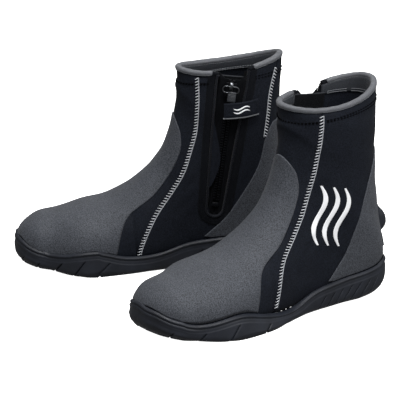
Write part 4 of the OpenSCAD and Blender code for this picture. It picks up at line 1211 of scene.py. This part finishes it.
def zip_stops(boot):
    z = TAPE_Z + TAPE_T
    top = Mesh(boot)
    for x0, x1 in ((-3.4, -0.8), (0.8, 3.4)):
        top.on_zip(*rounded_block(x0, x1, SLIDER_TOP + 0.6, SLIDER_TOP + 2.8, z, z + 2, 0.4))
    top.make("zip_top_stops", "teeth", "boot", "zip_plastic", ["zip_top_stops"])
    low = SLIDER_TOP - SLIDER_LEN - TRAVEL - 7
    Mesh(boot).on_zip(*rounded_block(-3.5, 3.5, low, low + 4, z, z + 2, 0.7)).make(
        "zip_bottom_stop", "teeth", "boot", "zip_plastic", ["zip_bottom_stop"])


def zip_slider(boot):
    """Two plates with side lips and a wedge between them, and the arched bridge that holds the ring."""
    top, back = TAPE_Z + TAPE_T + 2.3, TAPE_Z - 1.4
    y1, y0 = SLIDER_TOP, SLIDER_TOP - SLIDER_LEN
    slider = Mesh(boot)
    for block in ((-5.5, 5.5, y0, y1, top, top + 1.1, 1.6, 0.8), (-5.5, 5.5, y0, y1, back, back + 1, 1.6, 0.8),
                  (-0.3, 0.3, y1 - 4, y1, back + 0.5, top + 0.5, 0.1),
                  (-5.35, -4.35, y1 - 6.5, y1 - 0.4, top - 1.4, top + 0.3, 0.3),
                  (4.35, 5.35, y1 - 6.5, y1 - 0.4, top - 1.4, top + 0.3, 0.3)):
        slider.on_zip(*rounded_block(*block))
    slider.make("zip_slider", "teeth", "slider", "slider_metal", ["zip_slider"])
    a = np.linspace(0, 1, 25)
    span = np.stack([0 * a, mix(PIVOT[0] + 4.2, PIVOT[0] - 4.4, a),
                     top + 0.8 + (PIVOT[1] + 1.15 - top - 0.8) * np.sin(np.pi * a) ** 0.55], 1)
    Mesh(boot).on_zip(*tube(span, [0, 0.001, 1.0], 1.8, 0.55, sides=12, power=0.6)).make(
        "slider_bridge", "metal", "slider", "slider_metal")


def puller(boot):
    """Ring of bent wire, and a moulded tongue with grip bars, rolled round the ring at its top."""
    half, bend = 5.1, 3.5
    turn = np.radians(np.linspace(-90, 90, 21))
    right = np.stack([half + bend * np.cos(turn), -bend + bend * np.sin(turn)], 1)
    left = np.stack([-half - bend * np.cos(turn), -bend - bend * np.sin(turn)], 1)
    run = np.linspace(-half, half, 12)[1:-1]
    loop = np.vstack([chart_grid(run, -2 * bend), right, chart_grid(-run, 0), left])
    P = np.c_[loop[:, 0], loop[:, 1] + PIVOT[0], np.full(len(loop), PIVOT[1])]
    Mesh(boot).on_zip(*tube(P, [0, 0, 1.0], RING_R, sides=14, ring=True)).make(
        "pull_ring", "metal", "puller", "slider_metal", ["pull_ring"])
    yb, x0, x1 = PIVOT[0] - 2 * bend, -2.5, 6.0
    strap = Mesh(boot).on_zip(*rounded_block(x0, x1, yb - 9.6, yb - 0.9, PIVOT[1] + 0.2, PIVOT[1] + 1.3, 1.2))
    a = np.radians(np.linspace(-200, 110, 28))
    outer, inner = (np.stack([yb + r * np.cos(a), PIVOT[1] + r * np.sin(a)], 1) for r in (1.3, 0.72))
    V = np.vstack([np.c_[np.full(28, x), q] for x in (x0 + 0.1, x1 - 0.1) for q in (outer, inner)])
    F = []
    for i in range(27):
        F += [(i, i + 1, 56 + i + 1, 56 + i), (28 + i + 1, 28 + i, 84 + i, 84 + i + 1),
              (i + 1, i, 28 + i, 28 + i + 1), (56 + i, 56 + i + 1, 84 + i + 1, 84 + i)]
    strap.on_zip(V, F + [(0, 56, 84, 28), (27, 55, 111, 83)])
    for k in range(4):
        y = yb - 3.2 - 1.5 * k
        strap.on_zip(*rounded_block(x0 + 1.6, x1 - 1.6, y - 0.35, y + 0.35, PIVOT[1] + 1.1, PIVOT[1] + 1.62, 0.28))
    strap.make("pull_strap", "strap", "puller", "strap_rubber", ["pull_strap"])


# ---------------------------------------------------------------- keeper flap and marks

def keeper_chart(boot, x, y):
    """Chart points at shares x toward the front and y up the keeper."""
    u = mix(*KEEPER_U, x)
    return boot.chart(chart_grid(u, mix(mix(*KEEPER_LOW, x), mix(*KEEPER_HIGH, x), y)), INNER)


def keeper_rise(x):
    """Height of the keeper's under side above the skin."""
    u = mix(*KEEPER_U, x)
    dense = np.linspace(KEEPER_U[0] - 6, KEEPER_U[1] + 6, 200)
    soft = np.convolve(np.pad(np.interp(dense, *KEEPER_RISE), 12, mode="edge"), np.ones(25) / 25, "valid")
    return np.maximum(np.interp(u, dense, soft), np.interp(u, *KEEPER_RISE) - 0.1)


def keeper(boot):
    """Flap of neoprene over the puller, bound below and stitched round, lying closest to the skin at its rear edge.
    """
    x = np.r_[0, 0.008, 0.02, 0.035, np.linspace(0.06, 0.94, 56), 0.965, 0.98, 0.992, 1]
    y = np.r_[0, 0.02, 0.05, 0.09, np.linspace(0.14, 0.86, 28), 0.91, 0.95, 0.98, 1]
    X, Y = np.meshgrid(x, y, indexing="ij")
    c, rise = keeper_chart(boot, X, Y), keeper_rise(X)
    near = np.minimum(np.minimum(X, 1 - X) * 36, np.minimum(Y, 1 - Y) * 17)
    draw = 0.85 * (1 - np.sqrt(1 - (1 - np.clip(near / 0.9, 0, 1)) ** 2))
    flap = Mesh(boot).plate(boot.above(c, rise + KEEPER_T - draw), boot.above(c, rise + draw)).make(
        "keeper_flap", "neoprene", None, "neoprene", ["keeper_flap"])
    x = np.linspace(0.0, 1, 70)
    c = keeper_chart(boot, x, 0 * x)
    P = boot.above(c, keeper_rise(x) + KEEPER_T / 2) - [0, 0, 0.7]
    piping = Mesh(boot).add(*tube(*rounded_ends(P, boot.normal(c[:, 0], c[:, 1]), 0.95), sides=12)).make(
        "keeper_piping", "piping", None, "binding_tape", ["keeper_piping"])
    thread = Mesh(boot)
    along_x, along_y = np.linspace(0.03, 0.97, 100), np.linspace(0.05, 0.95, 60)
    for x, y in ((along_x, 0.16), (along_x, 0.9), (0.955, np.linspace(0.18, 0.88, 60)), (0.045, along_y),
                 (0.085, along_y)):
        x, y = np.broadcast_arrays(x, y)
        c = keeper_chart(boot, x, y)
        P = boot.above(c, keeper_rise(x) + KEEPER_T + 0.02)
        even = even_along(np.hstack([P, boot.normal(c[:, 0], c[:, 1])]), max(4, int(run_of(P)[-1] / 2.3)))
        along = unit(np.gradient(even[:, :3], axis=0))
        thread.stitches(even[1:-1, :3], unit(even[1:-1, 3:]), along[1:-1], 1.6, 0.2, 0.22)
    thread = thread.make("keeper_thread", "grey_dark", None, "dark_thread")
    start, end = (Vector(boot.place(boot.above(keeper_chart(boot, np.array([q]), 0.5), 2.0))[0])
                  for q in (-0.02, 0.24))
    for piece in (flap, piping, thread):
        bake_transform(piece)


def keeper_badge(boot):
    """Two nested waves printed on the keeper."""
    badge = Mesh(boot)
    s = np.linspace(0, 1, 50)
    x = mix(0.27, 0.73, s)
    w = 0.11 * np.sin(np.pi * np.clip(s * 0.94 + 0.03, 0, 1)) ** 0.5
    for centre in (0.60, 0.36):
        mid = centre + 0.15 * np.sin(2 * np.pi * s) * 0.6
        badge.sheet([boot.above(keeper_chart(boot, x, mid + w * inset * 0.5), keeper_rise(x) + KEEPER_T + d)
                     for d, inset in ((0.02, 1.0), (0.16, 0.96), (0.16, -0.96), (0.02, -1.0))])
    badge.make("keeper_badge", "print", "keeper", "white_print", ["keeper_badge"], outward=False)


def side_mark(boot):
    """Three slanted wave stripes printed on the outer quarter."""
    mark = Mesh(boot)
    s = np.linspace(0, 1, 80)
    w = 3.2 * np.sin(np.radians(20 + 140 * s))
    for k in range(3):
        mid = np.stack([70 + 13 * k + 6 * np.sin(2 * np.pi * s) - 6 * s, 66 + 3 * k + 62 * s], 1)
        rows = []
        for d, inset in ((0.02, 1), (0.2, 0.94), (0.22, 0.5), (0.22, 0), (0.22, -0.5), (0.2, -0.94), (0.02, -1)):
            c = boot.chart(mid + np.stack([w * inset, 0 * w], 1), OUTER)
            rows.append(boot.above(c, d + wrinkle(boot.above(c, 0)) + 0.05))
        mark.sheet(rows)
    mark.make("side_mark", "print", "boot", "white_print", ["side_mark"], outward=False)


# ---------------------------------------------------------------- build

for side_name in ("left", "right"):
    boot = Boot(side_name)
    for build in (front_panel, outer_quarter, inner_quarter, vamp_overlay, heel_overlay, seams, hem_stitching,
                  collar_binding, collar_facing, outsole, heel_rest, inside_bottom, zip_surround, zip_piping,
                  zip_gusset, zip_tapes, zip_teeth, zip_stops, zip_slider, puller, keeper, keeper_badge, side_mark):
        build(boot)


# ---------------------------------------------------------------- floor, light and camera

# Name, distance from the centre, azimuth and elevation, size and power
LIGHTS = [("key", 3.0, (70, 70), 1.0, 80), ("fill", 2.6, (125, 36), 1.4, 38), ("back", 2.6, (260, 55), 1.2, 14)]
WORLD_LIGHT, FLOOR_GLOW, FLOOR_HALF = 0.28, 1.1, 4
CENTRE = Vector((0, 0, 0.1))
VIEW_FROM, VIEW_DISTANCE, VIEW_AT = (70.6, 18.9), 3.074, Vector((0.017, 0.0182, 0.100))
SENSOR, LENS, SHIFT = 36, 265.1, (-0.0616, -0.0086)


def floor():
    mesh = bpy.data.meshes.new("floor_mesh")
    h = FLOOR_HALF
    mesh.from_pydata([(-h, -h, 0), (h, -h, 0), (h, h, 0), (-h, h, 0)], [], [(0, 1, 2, 3)])
    obj = bpy.data.objects.new("floor", mesh)
    bpy.context.scene.collection.objects.link(obj)
    s = Shader("floor_paint", (0.93, 0.93, 0.93), 0.8)
    s.mottle(s.noise(3, 2), 0.995, 1.005)
    s.bsdf.inputs["Emission Color"].default_value = (1, 1, 1, 1)
    s.bsdf.inputs["Emission Strength"].default_value = FLOOR_GLOW
    mesh.materials.append(s.mat)
    # White under the boots, without lighting them or showing in the rubber
    obj.visible_diffuse = obj.visible_glossy = False


def aimed(name, data, place, target):
    """Adds a light or camera that looks from a place at a target."""
    obj = bpy.data.objects.new(name, data)
    obj.location = place
    obj.rotation_euler = (target - obj.location).to_track_quat("-Z", "Y").to_euler()
    bpy.context.scene.collection.objects.link(obj)
    return obj


def direction(azimuth, elevation):
    a, e = math.radians(azimuth), math.radians(elevation)
    return Vector((math.sin(a) * math.cos(e), -math.cos(a) * math.cos(e), math.sin(e)))


def studio():
    world = bpy.data.worlds.new("studio")
    world.use_nodes = True
    background = world.node_tree.nodes["Background"]
    background.inputs["Color"].default_value = (1, 1, 1, 1)
    background.inputs["Strength"].default_value = WORLD_LIGHT
    bpy.context.scene.world = world
    for name, distance, angles, size, power in LIGHTS:
        light = bpy.data.lights.new(name, "AREA")
        light.shape, light.size, light.energy = "DISK", size, power
        aimed(name, light, CENTRE + distance * direction(*angles), CENTRE)
    bpy.context.scene.view_settings.view_transform = "Standard"


def camera():
    data = bpy.data.cameras.new("camera")
    data.sensor_width, data.lens = SENSOR, LENS
    data.shift_x, data.shift_y = SHIFT
    data.clip_end = 20
    bpy.context.scene.camera = aimed("camera", data, VIEW_AT + VIEW_DISTANCE * direction(*VIEW_FROM), VIEW_AT)


floor()
studio()
camera()
